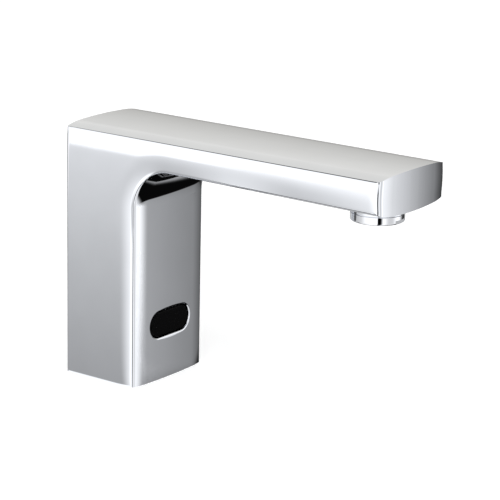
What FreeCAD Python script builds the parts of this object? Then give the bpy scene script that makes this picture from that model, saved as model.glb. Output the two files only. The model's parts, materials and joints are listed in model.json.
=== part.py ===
import FreeCAD, Part
import math
import os

# Sensor tap: a one-piece cast column and spout, with the valve, the sensor eye and the
# aerator that it holds. Millimetres, +Z up. The origin is the middle of the column's foot
# on the deck, X = 0 is the middle plane, and the spout reaches out along -Y to the user.

Vector = FreeCAD.Vector
X_AXIS = Vector(1, 0, 0)
Y_AXIS = Vector(0, 1, 0)
Z_AXIS = Vector(0, 0, 1)

# ---- driving dimensions: the casting's outside ----
BODY_WIDTH = 53.1            # across the column and the spout
COLUMN_BACK = 21.0           # middle of the back face, from the origin
COLUMN_FRONT = 21.0          # crown of the front face, from the origin
SPOUT_REACH = 152.5          # crown of the tip face, from the origin
EDGE_HEIGHT = 118.9          # deck to the crisp top edges
SPOUT_DEPTH = 16.6           # top edges to the crown of the spout's underside, at the tip
UNDERSIDE_RISE = 1.05        # how much higher the underside is beside the column
INNER_BEND_RADIUS = 17.5     # concave bend from the front face into the underside

# ---- the soft pillow shape of each face: radii of tangent arcs, crown to edge ----
CROWN_RADIUS = 260.0         # middle of the front face and the underside
CROWN_HALF_WIDTH = 17.0      # half the width that the crown radius covers
SHOULDER_RADIUS = 40.0       # next to the edges, where the faces roll over
INNER_EDGE_RADIUS = 2.2      # polished edges of the front face and the underside
SIDE_ROLL_RADIUS = 75.0      # sides rolling in towards the top and the inner edges
SIDE_ROLL_ANGLE = 7.0        # how far the sides roll, degrees
SIDE_EXIT_ANGLE = 2.0        # tilt left where a roll runs out into the flat side
TOP_CROWN_RADIUS = 300.0
TOP_EDGE_RADIUS = 0.7
BACK_CROWN_RADIUS = 2000.0   # the back face is all but flat
BACK_SHOULDER_RADIUS = 300.0
BACK_EDGE_RADIUS = 0.6
BACK_ROLL_RADIUS = 12.0
TIP_CROWN_RADIUS = 400.0
TIP_SHOULDER_RADIUS = 150.0
TIP_EDGE_RADIUS = 1.2
TIP_ROLL_RADIUS = 20.0

# ---- casting walls and hollow ----
SIDE_WALL = 3.0
FRONT_WALL = 3.6
BACK_WALL = 3.2
ROOF_DROP = 2.4              # top edges to the hollow's roof
FLOOR_RISE = 3.3             # underside at the tip to the hollow's floor in the spout
SPOUT_WALL = 5.0             # side wall of the spout
TIP_WALL = 4.3
BEND_RELIEF = 10.6           # slanted relief of the hollow behind the bend

# ---- deck fixing ----
GASKET_THICKNESS = 2.0
BASE_PLATE_THICKNESS = 6.0
BASE_GAP = 0.3               # base plate and gasket to the casting's wall
STUD_SPACING = 27.0
STUD_HOLE_RADIUS = 3.0       # M6
BASE_SCREW_INSET = 4.4       # from the hollow's side
BASE_SCREW_Y = 13.0
BASE_SCREW_RADIUS = 2.0      # M4
BASE_SCREW_HEAD_RADIUS = 3.5
BASE_SCREW_HEAD_HEIGHT = 2.2
BASE_SCREW_LENGTH = 9.0      # under the head
BASE_SCREW_SOCKET_ACROSS = 2.5
BASE_SCREW_SOCKET_DEPTH = 1.2
TAPPED_HOLE_EXTRA = 1.0      # tapped holes go this much deeper than their screws
GASKET_RING_WIDTH = 2.0
BASE_LUG_SIZE = 9.0
BASE_LUG_HEIGHT = 7.0
LUG_ROOT = 1.0               # lugs run this far into the casting's wall

# ---- how far cutting shapes run on ----
CUT_OVERRUN = 1.0            # bores and openings, past the face they break through
RIM_OVERRUN = 0.2            # the eye's chamfer, past the front face
ROLL_OVERRUN = 0.05          # a rolled edge's arc, past the flat side, so that they cross cleanly
CUTTER_MARGIN = 4.0          # the shapes that cut the casting's outside, past the casting
EDGE_MATCH = 0.01            # within this an edge counts as lying at a height or radius

# ---- clearances ----
THREAD_CLEARANCE = 0.05      # radial, on every screwed or plugged fit
SLIDE_CLEARANCE = 0.06       # radial, on the pieces that slide
HOLE_CLEARANCE = 0.2         # radial, round screws that pass through
LOOSE_GAP = 0.15             # round rubber and trim

# ---- sensor eye ----
WINDOW_HEIGHT = 26.9         # eye's middle above the deck
WINDOW_WIDTH = 12.7
WINDOW_RECESS = 0.5          # lens face behind the crown of the front face
WINDOW_BEVEL = 1.0
WINDOW_RIM = 1.2             # chamfer of the opening in the casting
WINDOW_FLANGE = 2.0          # flange beyond the lens, all round
WINDOW_FLANGE_THICKNESS = 1.5
EYE_SEAL_THICKNESS = 1.0
EYE_CASE_DEPTH = 8.9
EYE_CASE_MARGIN = 3.15       # case beyond each end of the lens
EYE_CASE_HALF_HEIGHT = 8.3
EYE_CASE_WALL = 1.2
BOARD_THICKNESS = 1.6
BOARD_MARGIN = 0.4
DIODE_SPACING = 16.0
DIODE_RADIUS = 2.5
DIODE_LENGTH = 5.0
STATUS_LED_RADIUS = 1.5
STATUS_LED_LENGTH = 3.6
BRACKET_THICKNESS = 1.2
BRACKET_HALF_HEIGHT = 5.5
EYE_LUG_HALF_HEIGHT = 4.0
EYE_LUG_GAP = 0.6            # lugs to the sensor's case
BRACKET_GAP = 0.4            # bracket to the casting's side walls
EYE_SCREW_INSET = 2.7        # from the hollow's side
EYE_SCREW_SETBACK = 3.25     # from the side of the sensor's case
EYE_SCREW_RADIUS = 1.5       # M3
EYE_SCREW_HEAD_RADIUS = 2.4
EYE_SCREW_HEAD_HEIGHT = 1.8
EYE_SCREW_LENGTH = 7.0

# ---- water inlet ----
VALVE_AXIS_Y = 5.5
INLET_THREAD_RADIUS = 5.0    # M10 x 1 for the supply hose
INLET_THREAD_LENGTH = 9.0
INLET_NECK_RADIUS = 6.5
INLET_NECK_TOP = 20.0
INLET_FLANGE_ACROSS = 17.0   # across the flats of its hexagon
INLET_FLANGE_THICKNESS = 3.0
INLET_MOUTH = 1.0            # above the deck
FILTER_RADIUS = 3.7
FILTER_WALL = 0.4
FILTER_HEIGHT = 5.4
FILTER_FLANGE_RADIUS = 4.5
FILTER_FLANGE_THICKNESS = 1.0
FILTER_SEAT_DEPTH = 4.0      # counterbore in the top of the inlet neck

# ---- non-return valve ----
CHECK_SEAT_THICKNESS = 2.5
CHECK_SEAT_BORE = 3.0
POPPET_RADIUS = 4.2
POPPET_THICKNESS = 1.5
POPPET_STEM_RADIUS = 1.2
POPPET_STEM_LENGTH = 5.0
POPPET_LIFT = 2.0
CHECK_SPRING_ROOM = 1.5      # left for the spring with the poppet wide open
CHECK_CAGE_WALL = 0.9
CHECK_CAGE_LID = 2.0
CHECK_PORT_RADIUS = 1.1
CHECK_PORT_CIRCLE = 3.6
CHECK_PORT_COUNT = 6
CHECK_SPRING_WIRE = 0.4
CHECK_SPRING_MEAN_RADIUS = 2.2
CHECK_SPRING_TURNS = 3

# ---- main valve ----
VALVE_FOOT_HALF_WIDTH = 10.0
VALVE_FOOT_FRONT = -2.4
VALVE_BACK = 16.6
VALVE_HEAD_HALF_WIDTH = 12.9
VALVE_HEAD_FRONT = -15.0
EYE_VALVE_GAP = 0.8          # sensor's case to the valve's head above it
MAIN_SEAT_BORE = 3.0
MAIN_SEAT_LIP = 1.2
MAIN_SEAT_RISE = 6.0         # seat above the floor of the chamber round it
SEAT_DEPTH = 4.0             # seat below the valve's top face
INLET_CHAMBER_RADIUS = 8.0
CHAMBER_FLOOR_THICKNESS = 0.4
INLET_CHANNEL_RADIUS = 2.0
INLET_CHANNEL_X = 6.2
CAGE_SHOULDER = 1.2          # holds the non-return valve's cage down
CHANNEL_SHOULDER = 0.5       # between the cage and the side channels
CROSS_PORT_RISE = 5.0        # cross port above the bottom of the valve's head
CROSS_PORT_RADIUS = 2.6
PORT_FLOOR_THICKNESS = 5.4   # between the cross port and the non-return valve's bore
DIAPHRAGM_RADIUS = 9.5
DIAPHRAGM_THICKNESS = 1.5
DIAPHRAGM_SEAT_DEPTH = 2.5   # below the valve's top face
CORE_RADIUS = 6.0
CORE_HEIGHT = 3.5
CORE_LIFT = 1.2
CORE_SPRING_ROOM = 2.3       # left for the spring with the core wide open
BLEED_HOLE_RADIUS = 0.4
BLEED_HOLE_INSET = 0.8       # from the core's rim
CORE_SPRING_WIRE = 0.5
CORE_SPRING_MEAN_RADIUS = 4.4
CORE_SPRING_TURNS = 3

# ---- solenoid ----
BONNET_HEIGHT = 5.0
BONNET_FRONT = -5.4
GUIDE_BORE = 4.1
GUIDE_WALL = 0.9
GUIDE_LENGTH = 19.0
PILOT_NOZZLE_HEIGHT = 0.6
PILOT_NOZZLE_RADIUS = 1.2
PILOT_BORE = 0.5
PLUNGER_LENGTH = 11.0
PLUNGER_STROKE = 1.5
PLUNGER_TIP_RADIUS = 2.0
PLUNGER_TIP_THICKNESS = 1.6
PLUNGER_TIP_PROUD = 0.6
PLUNGER_POCKET_RADIUS = 2.7
PLUNGER_POCKET_DEPTH = 6.0
PLUNGER_SPRING_WIRE = 0.5
PLUNGER_SPRING_MEAN_RADIUS = 2.2
PLUNGER_SPRING_TURNS = 7
STOP_HEAD_THICKNESS = 2.0
MAGNET_RADIUS = 6.0
MAGNET_THICKNESS = 3.0
YOKE_THICKNESS = 1.5
YOKE_SIDE_THICKNESS = 1.2
YOKE_HALF_WIDTH = 11.2
YOKE_HALF_DEPTH = 8.0
BOBBIN_RADIUS = 9.4
BOBBIN_WALL = 1.0
BOBBIN_FLANGE = 1.2
WINDING_RADIUS = 9.0
SOLENOID_SCREW_X = 10.4
SOLENOID_SCREW_REACH = 8.2   # each way from the valve axis, along Y
SOLENOID_SCREW_RADIUS = 1.5
SOLENOID_SCREW_HEAD_RADIUS = 2.4
SOLENOID_SCREW_HEAD_HEIGHT = 1.8
SOLENOID_SCREW_LENGTH = 13.0

# ---- outlet tube ----
TUBE_RADIUS = 4.0
TUBE_BORE = 3.0
TUBE_X = 0.0
TUBE_RISER_Y = -10.0
TUBE_DROP = 7.1              # top edges to the middle of the tube in the spout
TUBE_BEND_RADIUS = 16.0
TUBE_SOCKET_DEPTH = 8.0
SEAL_CORD_RADIUS = 0.72
SEAL_GROOVE_RADIUS = 5.5
SEAL_GROOVE_WIDTH = 1.8

# ---- nozzle and aerator ----
NOZZLE_SETBACK = 18.2        # nozzle axis behind the crown of the tip face
NOZZLE_RADIUS = 12.0         # neck and aerator ring outside
NECK_LENGTH = 3.0            # below the spout's underside
BOSS_ROOT = 1.5              # neck and boss overlap inside the spout's floor
AERATOR_COLLAR_HEIGHT = 3.8
AERATOR_THREAD_RADIUS = 11.0  # M22 x 1
AERATOR_THREAD_LENGTH = 5.5
AERATOR_BORE = 9.6
AERATOR_LIP_BORE = 8.4
AERATOR_LIP_THICKNESS = 1.2
AERATOR_WASHER_THICKNESS = 1.5
AERATOR_WASHER_BORE = 7.2
AERATOR_EDGE_ROUND = 0.9
AERATOR_SEAM_BEVEL = 0.25
AERATOR_FLAT_DEPTH = 0.5     # two spanner flats
AERATOR_FLAT_HALF_WIDTH = 6.0
MESH_THICKNESS = 0.5
MESH_FRAME = 1.1
MESH_BAR = 0.5
MESH_PITCH = 1.9
INSERT_WALL = 1.0
INSERT_RIBS = 6
INSERT_RIB_WIDTH = 0.8
INSERT_RIB_DROP = 2.0        # ribs end this far below the rim
INSERT_HUB_RADIUS = 3.0
INSERT_HUB_DROP = 1.0
NOZZLE_BOSS_RADIUS = 15.0
OUTLET_CHAMBER_RADIUS = 7.0
OUTLET_CHAMBER_DROP = 0.9    # below the hollow's roof
TUBE_END_SETBACK = 7.5       # tube's end, behind the nozzle axis
TUBE_SEAL_SETBACK = 12.5     # upper seal, behind the nozzle axis

# ---- leads ----
GROMMET_Y = -11.0
GROMMET_RADIUS = 3.5
GROMMET_FLANGE_RADIUS = 4.6
GROMMET_FLANGE_THICKNESS = 1.5
GROMMET_BORE = 2.0
LEAD_RADIUS = 0.8
LEAD_INSET = 0.9             # lead's middle inside the side of the sensor's case
LEAD_START_Y = -9.5
LEAD_KNEE_DROP = 4.0         # below the valve's top face
LEAD_END_RISE = 11.0         # above the bonnet
LEAD_HOLE_CLEARANCE = 0.4
LEAD_ARC_SHARE = 0.45        # share of the shorter run that each bend takes up

# ---- places worked out from the sizes above ----
HALF_WIDTH = BODY_WIDTH / 2
UNDERSIDE_AT_TIP = EDGE_HEIGHT - SPOUT_DEPTH
HOLLOW_ROOF = EDGE_HEIGHT - ROOF_DROP
SPOUT_FLOOR = UNDERSIDE_AT_TIP + FLOOR_RISE
TUBE_LEVEL = EDGE_HEIGHT - TUBE_DROP
NECK_BOTTOM = UNDERSIDE_AT_TIP - NECK_LENGTH
AERATOR_BOTTOM = NECK_BOTTOM - AERATOR_COLLAR_HEIGHT
OUTLET_CHAMBER_ROOF = HOLLOW_ROOF - OUTLET_CHAMBER_DROP
BASE_PLATE_TOP = GASKET_THICKNESS + BASE_PLATE_THICKNESS
HOLLOW_HALF_WIDTH = HALF_WIDTH - SIDE_WALL
HOLLOW_FRONT = FRONT_WALL - COLUMN_FRONT
HOLLOW_BACK = COLUMN_BACK - BACK_WALL
BASE_SCREW_X = HOLLOW_HALF_WIDTH - BASE_SCREW_INSET
TIP_Y = -SPOUT_REACH
NOZZLE_Y = TIP_Y + NOZZLE_SETBACK
EYE_SCREW_X = HOLLOW_HALF_WIDTH - EYE_SCREW_INSET
EYE_CASE_HALF_WIDTH = EYE_SCREW_X - EYE_SCREW_SETBACK
WINDOW_LENGTH = 2 * (EYE_CASE_HALF_WIDTH - EYE_CASE_MARGIN)
EYE_SEAL_BACK = HOLLOW_FRONT + EYE_SEAL_THICKNESS
EYE_FLANGE_BACK = EYE_SEAL_BACK + WINDOW_FLANGE_THICKNESS
EYE_CASE_BACK = EYE_FLANGE_BACK + EYE_CASE_DEPTH
BRACKET_BACK = EYE_CASE_BACK + BRACKET_THICKNESS
BOARD_BACK = EYE_CASE_BACK - EYE_CASE_WALL
BOARD_FRONT = BOARD_BACK - BOARD_THICKNESS
CHECK_SEAT_TOP = INLET_NECK_TOP + CHECK_SEAT_THICKNESS
POPPET_TOP = CHECK_SEAT_TOP + POPPET_THICKNESS
CHECK_LID_BOTTOM = POPPET_TOP + POPPET_LIFT + CHECK_SPRING_ROOM
CHECK_CAGE_TOP = CHECK_LID_BOTTOM + CHECK_CAGE_LID
VALVE_HEAD_BOTTOM = WINDOW_HEIGHT + EYE_CASE_HALF_HEIGHT + EYE_VALVE_GAP
CROSS_PORT_HEIGHT = VALVE_HEAD_BOTTOM + CROSS_PORT_RISE
CHECK_BORE_TOP = CROSS_PORT_HEIGHT - CROSS_PORT_RADIUS - PORT_FLOOR_THICKNESS
INLET_CHAMBER_FLOOR = CROSS_PORT_HEIGHT + CROSS_PORT_RADIUS + CHAMBER_FLOOR_THICKNESS
MAIN_SEAT_HEIGHT = INLET_CHAMBER_FLOOR + MAIN_SEAT_RISE
VALVE_TOP = MAIN_SEAT_HEIGHT + SEAT_DEPTH
DIAPHRAGM_FLOOR = VALVE_TOP - DIAPHRAGM_SEAT_DEPTH
CORE_TOP = MAIN_SEAT_HEIGHT + CORE_HEIGHT
CONTROL_CHAMBER_TOP = CORE_TOP + CORE_LIFT + CORE_SPRING_ROOM
BONNET_TOP = VALVE_TOP + BONNET_HEIGHT
LEAD_X = EYE_CASE_HALF_WIDTH - LEAD_INSET
LEAD_KNEE = VALVE_TOP - LEAD_KNEE_DROP
LEAD_END_HEIGHT = BONNET_TOP + LEAD_END_RISE
GUIDE_RADIUS = GUIDE_BORE + GUIDE_WALL
GUIDE_TOP = BONNET_TOP + GUIDE_LENGTH
PLUNGER_BOTTOM = BONNET_TOP + PILOT_NOZZLE_HEIGHT + PLUNGER_TIP_PROUD
PLUNGER_TOP = PLUNGER_BOTTOM + PLUNGER_LENGTH
STOP_BOTTOM = PLUNGER_TOP + PLUNGER_STROKE
YOKE_TOP = GUIDE_TOP
AERATOR_SHOULDER = NECK_BOTTOM + AERATOR_THREAD_LENGTH + AERATOR_WASHER_THICKNESS
TUBE_SOCKET_FLOOR = VALVE_TOP - TUBE_SOCKET_DEPTH


# ---- plain shapes ----
def box(x_low, x_high, y_low, y_high, z_low, z_high):
    corner = Vector(x_low, y_low, z_low)
    return Part.makeBox(x_high - x_low, y_high - y_low, z_high - z_low, corner)


def rod(radius, start, length, direction=Z_AXIS):
    return Part.makeCylinder(radius, length, start, direction)


def ring(outer, inner, start, length, direction=Z_AXIS):
    bore = rod(inner, start - direction * CUT_OVERRUN, length + 2 * CUT_OVERRUN, direction)
    return rod(outer, start, length, direction).cut(bore)


def upright(radius, x, y, z_low, z_high):
    return rod(radius, Vector(x, y, z_low), z_high - z_low)


def upright_ring(outer, inner, y, z_low, z_high):
    return ring(outer, inner, Vector(0, y, z_low), z_high - z_low)


def fused(shapes):
    whole = shapes[0]
    for extra in shapes[1:]:
        whole = whole.fuse(extra)
    return whole.removeSplitter()


def both_sides(shape):
    mirrored = shape.mirror(Vector(0, 0, 0), X_AXIS)
    return [shape, mirrored]


def stadium(half_length, half_height, y):
    """Outline with round ends, in the plane at y, about the sensor eye's middle."""
    straight = half_length - half_height
    low = WINDOW_HEIGHT - half_height
    high = WINDOW_HEIGHT + half_height
    corners = [Vector(-straight, y, low), Vector(straight, y, low),
               Vector(straight, y, high), Vector(-straight, y, high)]
    right_end = Vector(half_length, y, WINDOW_HEIGHT)
    left_end = Vector(-half_length, y, WINDOW_HEIGHT)
    edges = [Part.LineSegment(corners[0], corners[1]).toShape(),
             Part.Arc(corners[1], right_end, corners[2]).toShape(),
             Part.LineSegment(corners[2], corners[3]).toShape(),
             Part.Arc(corners[3], left_end, corners[0]).toShape()]
    return Part.Wire(edges)


def stadium_block(extra, y_front, y_back):
    """The eye's outline grown by extra, from y_front to y_back."""
    outline = stadium(WINDOW_LENGTH / 2 + extra, WINDOW_WIDTH / 2 + extra, y_front)
    return Part.Face(outline).extrude(Vector(0, y_back - y_front, 0))


def stadium_taper(extra_front, extra_back, y_front, y_back):
    front = stadium(WINDOW_LENGTH / 2 + extra_front, WINDOW_WIDTH / 2 + extra_front, y_front)
    back = stadium(WINDOW_LENGTH / 2 + extra_back, WINDOW_WIDTH / 2 + extra_back, y_back)
    return Part.makeLoft([front, back], True, True)


def coil_spring(mean_radius, wire, turns, y, z_low, z_high):
    """Open coil round the upright axis at y, its wire just inside z_low and z_high."""
    rise = z_high - z_low - wire
    helix = Part.makeLongHelix(rise / turns, rise, mean_radius)
    start = Vector(mean_radius, 0, 0)
    section = Part.Wire(Part.makeCircle(wire / 2, start, Y_AXIS))
    coil = Part.Wire(helix).makePipeShell([section], True, True)
    coil.translate(Vector(0, y, z_low + wire / 2))
    return coil


# ---- pillow outlines: tangent arcs from the crown to the edge ----
def pillow_half(half_width, crown, shoulder, edge, roll):
    """Arcs from the crown at (0, 0) to half_width, as (start, middle, end) in (across, out).

    crown is (radius, half width), shoulder and edge are radii, and roll is
    (radius, start tilt, end tilt), the tilts in degrees from the face's own normal.
    """
    crown_sine = crown[1] / crown[0]
    roll_start = math.sin(math.radians(roll[1]))
    roll_end = math.sin(math.radians(roll[2]))
    left_over = half_width - crown[1] + shoulder * crown_sine
    left_over -= edge * roll_start + roll[0] * (roll_end - roll_start)
    shoulder_sine = left_over / (shoulder - edge)
    sines = [0.0, crown_sine, shoulder_sine, roll_start, roll_end]
    tilts = [math.asin(sine) for sine in sines]
    radii = [crown[0], shoulder, edge, roll[0]]
    arcs = []
    point = (0.0, 0.0)
    for radius, first, last in zip(radii, tilts, tilts[1:]):
        centre = (point[0] - radius * math.sin(first), point[1] - radius * math.cos(first))
        stops = [(centre[0] + radius * math.sin(tilt), centre[1] + radius * math.cos(tilt))
                 for tilt in (first, (first + last) / 2, last)]
        arcs.append(stops)
        point = stops[2]
    return arcs


def pillow_edges(half_arcs, place):
    """The whole width of a pillow, from its left end to its right end, as edges."""
    edges = []
    for start, middle, end in reversed(half_arcs):
        points = [place(-across, out) for across, out in (end, middle, start)]
        edges.append(Part.Arc(*points).toShape())
    for start, middle, end in half_arcs:
        points = [place(across, out) for across, out in (start, middle, end)]
        edges.append(Part.Arc(*points).toShape())
    return edges


def closed_face(edges, corners):
    """A face bounded by the edges in order and then straight lines through the corners."""
    last = edges[-1].Vertexes[-1].Point
    first = edges[0].Vertexes[0].Point
    stops = [last] + corners + [first]
    lines = [Part.LineSegment(start, end).toShape() for start, end in zip(stops, stops[1:])]
    return Part.Face(Part.Wire(edges + lines))


def inner_pillow():
    """The rolled section that the front face and the spout's underside share."""
    roll = (SIDE_ROLL_RADIUS, 90 - SIDE_ROLL_ANGLE, 90 - SIDE_EXIT_ANGLE)
    crown = (CROWN_RADIUS, CROWN_HALF_WIDTH)
    return pillow_half(HALF_WIDTH + ROLL_OVERRUN, crown, SHOULDER_RADIUS, INNER_EDGE_RADIUS, roll)


def underside_slope():
    """Angle of the underside, which drops towards the tip."""
    run = SPOUT_REACH - COLUMN_FRONT
    return math.atan2(UNDERSIDE_RISE, run)


def inner_cutter():
    """The space in front of the column and under the spout, with the bend between them."""
    half_arcs = inner_pillow()
    depth = half_arcs[-1][2][1]
    reach = HALF_WIDTH + CUTTER_MARGIN
    bend_y = -COLUMN_FRONT - INNER_BEND_RADIUS
    bend_z = UNDERSIDE_AT_TIP + UNDERSIDE_RISE - INNER_BEND_RADIUS

    def front_place(across, out):
        return Vector(across, -COLUMN_FRONT - out, bend_z)

    edges = pillow_edges(half_arcs, front_place)
    corners = [front_place(reach, depth), front_place(reach, INNER_BEND_RADIUS),
               front_place(-reach, INNER_BEND_RADIUS), front_place(-reach, depth)]
    section = closed_face(edges, corners)
    column_part = section.extrude(Vector(0, 0, -bend_z - CUTTER_MARGIN))
    turn = 90 + math.degrees(underside_slope())
    bend_axis = Vector(0, bend_y, bend_z)
    bend_part = section.revolve(bend_axis, X_AXIS, turn)
    end_section = section.copy()
    end_section.rotate(bend_axis, X_AXIS, turn)
    run = SPOUT_REACH - COLUMN_FRONT + CUTTER_MARGIN
    direction = Vector(0, -math.cos(underside_slope()), -math.sin(underside_slope()))
    spout_part = end_section.extrude(direction * run)
    drop = math.tan(underside_slope()) * run
    space = box(-reach, reach, TIP_Y - 2 * CUTTER_MARGIN, bend_y, -CUTTER_MARGIN, bend_z - drop)
    wedge = Part.makePolygon([Vector(-reach, bend_y, bend_z), Vector(-reach, bend_y - run, bend_z - drop),
                              Vector(-reach, bend_y, bend_z - drop), Vector(-reach, bend_y, bend_z)])
    wedge_solid = Part.Face(wedge).extrude(Vector(2 * reach, 0, 0))
    return [column_part, bend_part, spout_part, space, wedge_solid]


def end_cutter(crown_y, outward, crown, shoulder, edge, roll_radius):
    """The space beyond the rolled back face or tip face. outward is +1 or -1 along Y."""
    roll = (roll_radius, 90 - SIDE_ROLL_ANGLE, 90 - SIDE_EXIT_ANGLE)
    half_arcs = pillow_half(HALF_WIDTH + ROLL_OVERRUN, crown, shoulder, edge, roll)
    depth = half_arcs[-1][2][1]
    reach = HALF_WIDTH + CUTTER_MARGIN

    def place(across, out):
        return Vector(across, crown_y + outward * out, -CUTTER_MARGIN)

    edges = pillow_edges(half_arcs, place)
    corners = [place(reach, depth), place(reach, CUTTER_MARGIN),
               place(-reach, CUTTER_MARGIN), place(-reach, depth)]
    height = EDGE_HEIGHT + 3 * CUTTER_MARGIN
    return closed_face(edges, corners).extrude(Vector(0, 0, height))


def top_pillow():
    """The rolled top, whose arcs end flush with the flat sides."""
    roll = (SIDE_ROLL_RADIUS, 90 - SIDE_ROLL_ANGLE, 90.0)
    crown = (TOP_CROWN_RADIUS, CROWN_HALF_WIDTH)
    return pillow_half(HALF_WIDTH, crown, SHOULDER_RADIUS, TOP_EDGE_RADIUS, roll)


def casting_block():
    """The casting's full length with its rolled top, before its ends and front are shaped."""
    half_arcs = top_pillow()
    crisp_edge = half_arcs[2][1][1]
    crown_height = EDGE_HEIGHT - crisp_edge
    back_y = COLUMN_BACK + CUT_OVERRUN

    def place(across, out):
        return Vector(across, back_y, crown_height + out)

    edges = pillow_edges(half_arcs, place)
    corners = [Vector(HALF_WIDTH, back_y, 0), Vector(-HALF_WIDTH, back_y, 0)]
    length = back_y + SPOUT_REACH + CUT_OVERRUN
    return closed_face(edges, corners).extrude(Vector(0, -length, 0))


# ---- the casting ----
def casting_outside():
    block = casting_block()
    for cutter in inner_cutter():
        block = block.cut(cutter)
    back_crown = (BACK_CROWN_RADIUS, CROWN_HALF_WIDTH)
    tip_crown = (TIP_CROWN_RADIUS, CROWN_HALF_WIDTH)
    behind = end_cutter(COLUMN_BACK, 1, back_crown, BACK_SHOULDER_RADIUS, BACK_EDGE_RADIUS, BACK_ROLL_RADIUS)
    ahead = end_cutter(TIP_Y, -1, tip_crown, TIP_SHOULDER_RADIUS, TIP_EDGE_RADIUS, TIP_ROLL_RADIUS)
    return block.cut(behind).cut(ahead)


def casting_hollow():
    column = box(-HOLLOW_HALF_WIDTH, HOLLOW_HALF_WIDTH, HOLLOW_FRONT, HOLLOW_BACK,
                 -CUT_OVERRUN, HOLLOW_ROOF)
    spout_half = HALF_WIDTH - SPOUT_WALL
    spout = box(-spout_half, spout_half, TIP_Y + TIP_WALL, 0, SPOUT_FLOOR, HOLLOW_ROOF)
    relief_points = [Vector(-spout_half, HOLLOW_FRONT + CUT_OVERRUN, SPOUT_FLOOR - BEND_RELIEF),
                     Vector(-spout_half, HOLLOW_FRONT, SPOUT_FLOOR - BEND_RELIEF),
                     Vector(-spout_half, HOLLOW_FRONT - BEND_RELIEF, SPOUT_FLOOR),
                     Vector(-spout_half, HOLLOW_FRONT + CUT_OVERRUN, SPOUT_FLOOR)]
    relief_wire = Part.makePolygon(relief_points + relief_points[:1])
    relief = Part.Face(relief_wire).extrude(Vector(2 * spout_half, 0, 0))
    return column.fuse(spout).fuse(relief)


def base_screw_places():
    return [(side * BASE_SCREW_X, end * BASE_SCREW_Y) for side in (1, -1) for end in (1, -1)]


def base_screw_top():
    return GASKET_THICKNESS + BASE_SCREW_HEAD_HEIGHT + BASE_SCREW_LENGTH


def base_lugs():
    """Corner lugs that the base plate is screwed up against."""
    wall = HALF_WIDTH - SIDE_WALL / 2
    lug_top = BASE_PLATE_TOP + BASE_LUG_HEIGHT
    inner = wall - BASE_LUG_SIZE
    nearest_y = BASE_SCREW_Y - BASE_LUG_SIZE / 2
    back = box(inner, wall, nearest_y, HOLLOW_BACK + LUG_ROOT, BASE_PLATE_TOP, lug_top)
    front = box(inner, wall, HOLLOW_FRONT - LUG_ROOT, -nearest_y, BASE_PLATE_TOP, lug_top)
    return both_sides(back) + both_sides(front)


def eye_lugs():
    """Lugs on each side of the sensor eye that its bracket is screwed to."""
    low = WINDOW_HEIGHT - EYE_LUG_HALF_HEIGHT
    high = WINDOW_HEIGHT + EYE_LUG_HALF_HEIGHT
    wall = HALF_WIDTH - SIDE_WALL / 2
    inner = EYE_CASE_HALF_WIDTH + EYE_LUG_GAP
    lug = box(inner, wall, HOLLOW_FRONT - LUG_ROOT, EYE_CASE_BACK, low, high)
    return both_sides(lug)


def circle_edges(shape, z, radius):
    """The shape's edges that are circles of this radius at this height."""
    found = []
    for edge in shape.Edges:
        bounds = edge.BoundBox
        level = abs(bounds.ZMin - z) < EDGE_MATCH and abs(bounds.ZMax - z) < EDGE_MATCH
        if level and abs(bounds.XLength - 2 * radius) < EDGE_MATCH:
            found.append(edge)
    return found


def nozzle_boss():
    root = UNDERSIDE_AT_TIP + BOSS_ROOT
    roof = HOLLOW_ROOF + LUG_ROOT
    boss = upright(NOZZLE_BOSS_RADIUS, 0, NOZZLE_Y, root, roof)
    inside = box(-HALF_WIDTH, HALF_WIDTH, TIP_Y + TIP_WALL - LUG_ROOT, 0, UNDERSIDE_AT_TIP, roof)
    neck = upright(NOZZLE_RADIUS, 0, NOZZLE_Y, NECK_BOTTOM, root + UNDERSIDE_RISE)
    neck = neck.makeChamfer(AERATOR_SEAM_BEVEL, circle_edges(neck, NECK_BOTTOM, NOZZLE_RADIUS))
    return [boss.common(inside), neck]


def nozzle_bores():
    bore = upright(AERATOR_THREAD_RADIUS, 0, NOZZLE_Y, NECK_BOTTOM - CUT_OVERRUN, AERATOR_SHOULDER)
    chamber = upright(OUTLET_CHAMBER_RADIUS, 0, NOZZLE_Y, AERATOR_SHOULDER - CUT_OVERRUN,
                      OUTLET_CHAMBER_ROOF)
    tube_hole_start = Vector(TUBE_X, NOZZLE_Y, TUBE_LEVEL)
    tube_hole_length = NOZZLE_BOSS_RADIUS + CUT_OVERRUN
    tube_hole = rod(TUBE_RADIUS + THREAD_CLEARANCE, tube_hole_start, tube_hole_length, Y_AXIS)
    groove_start = Vector(TUBE_X, NOZZLE_Y + TUBE_SEAL_SETBACK - SEAL_GROOVE_WIDTH / 2, TUBE_LEVEL)
    groove = rod(SEAL_GROOVE_RADIUS, groove_start, SEAL_GROOVE_WIDTH, Y_AXIS)
    return [bore, chamber, tube_hole, groove]


def eye_opening():
    through = stadium_block(LOOSE_GAP, -COLUMN_FRONT - CUT_OVERRUN, HOLLOW_FRONT + CUT_OVERRUN)
    rim_front = -COLUMN_FRONT - RIM_OVERRUN
    rim_back = WINDOW_RIM - COLUMN_FRONT
    rim = stadium_taper(LOOSE_GAP + WINDOW_RIM + RIM_OVERRUN, LOOSE_GAP, rim_front, rim_back)
    return [through, rim]


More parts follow.
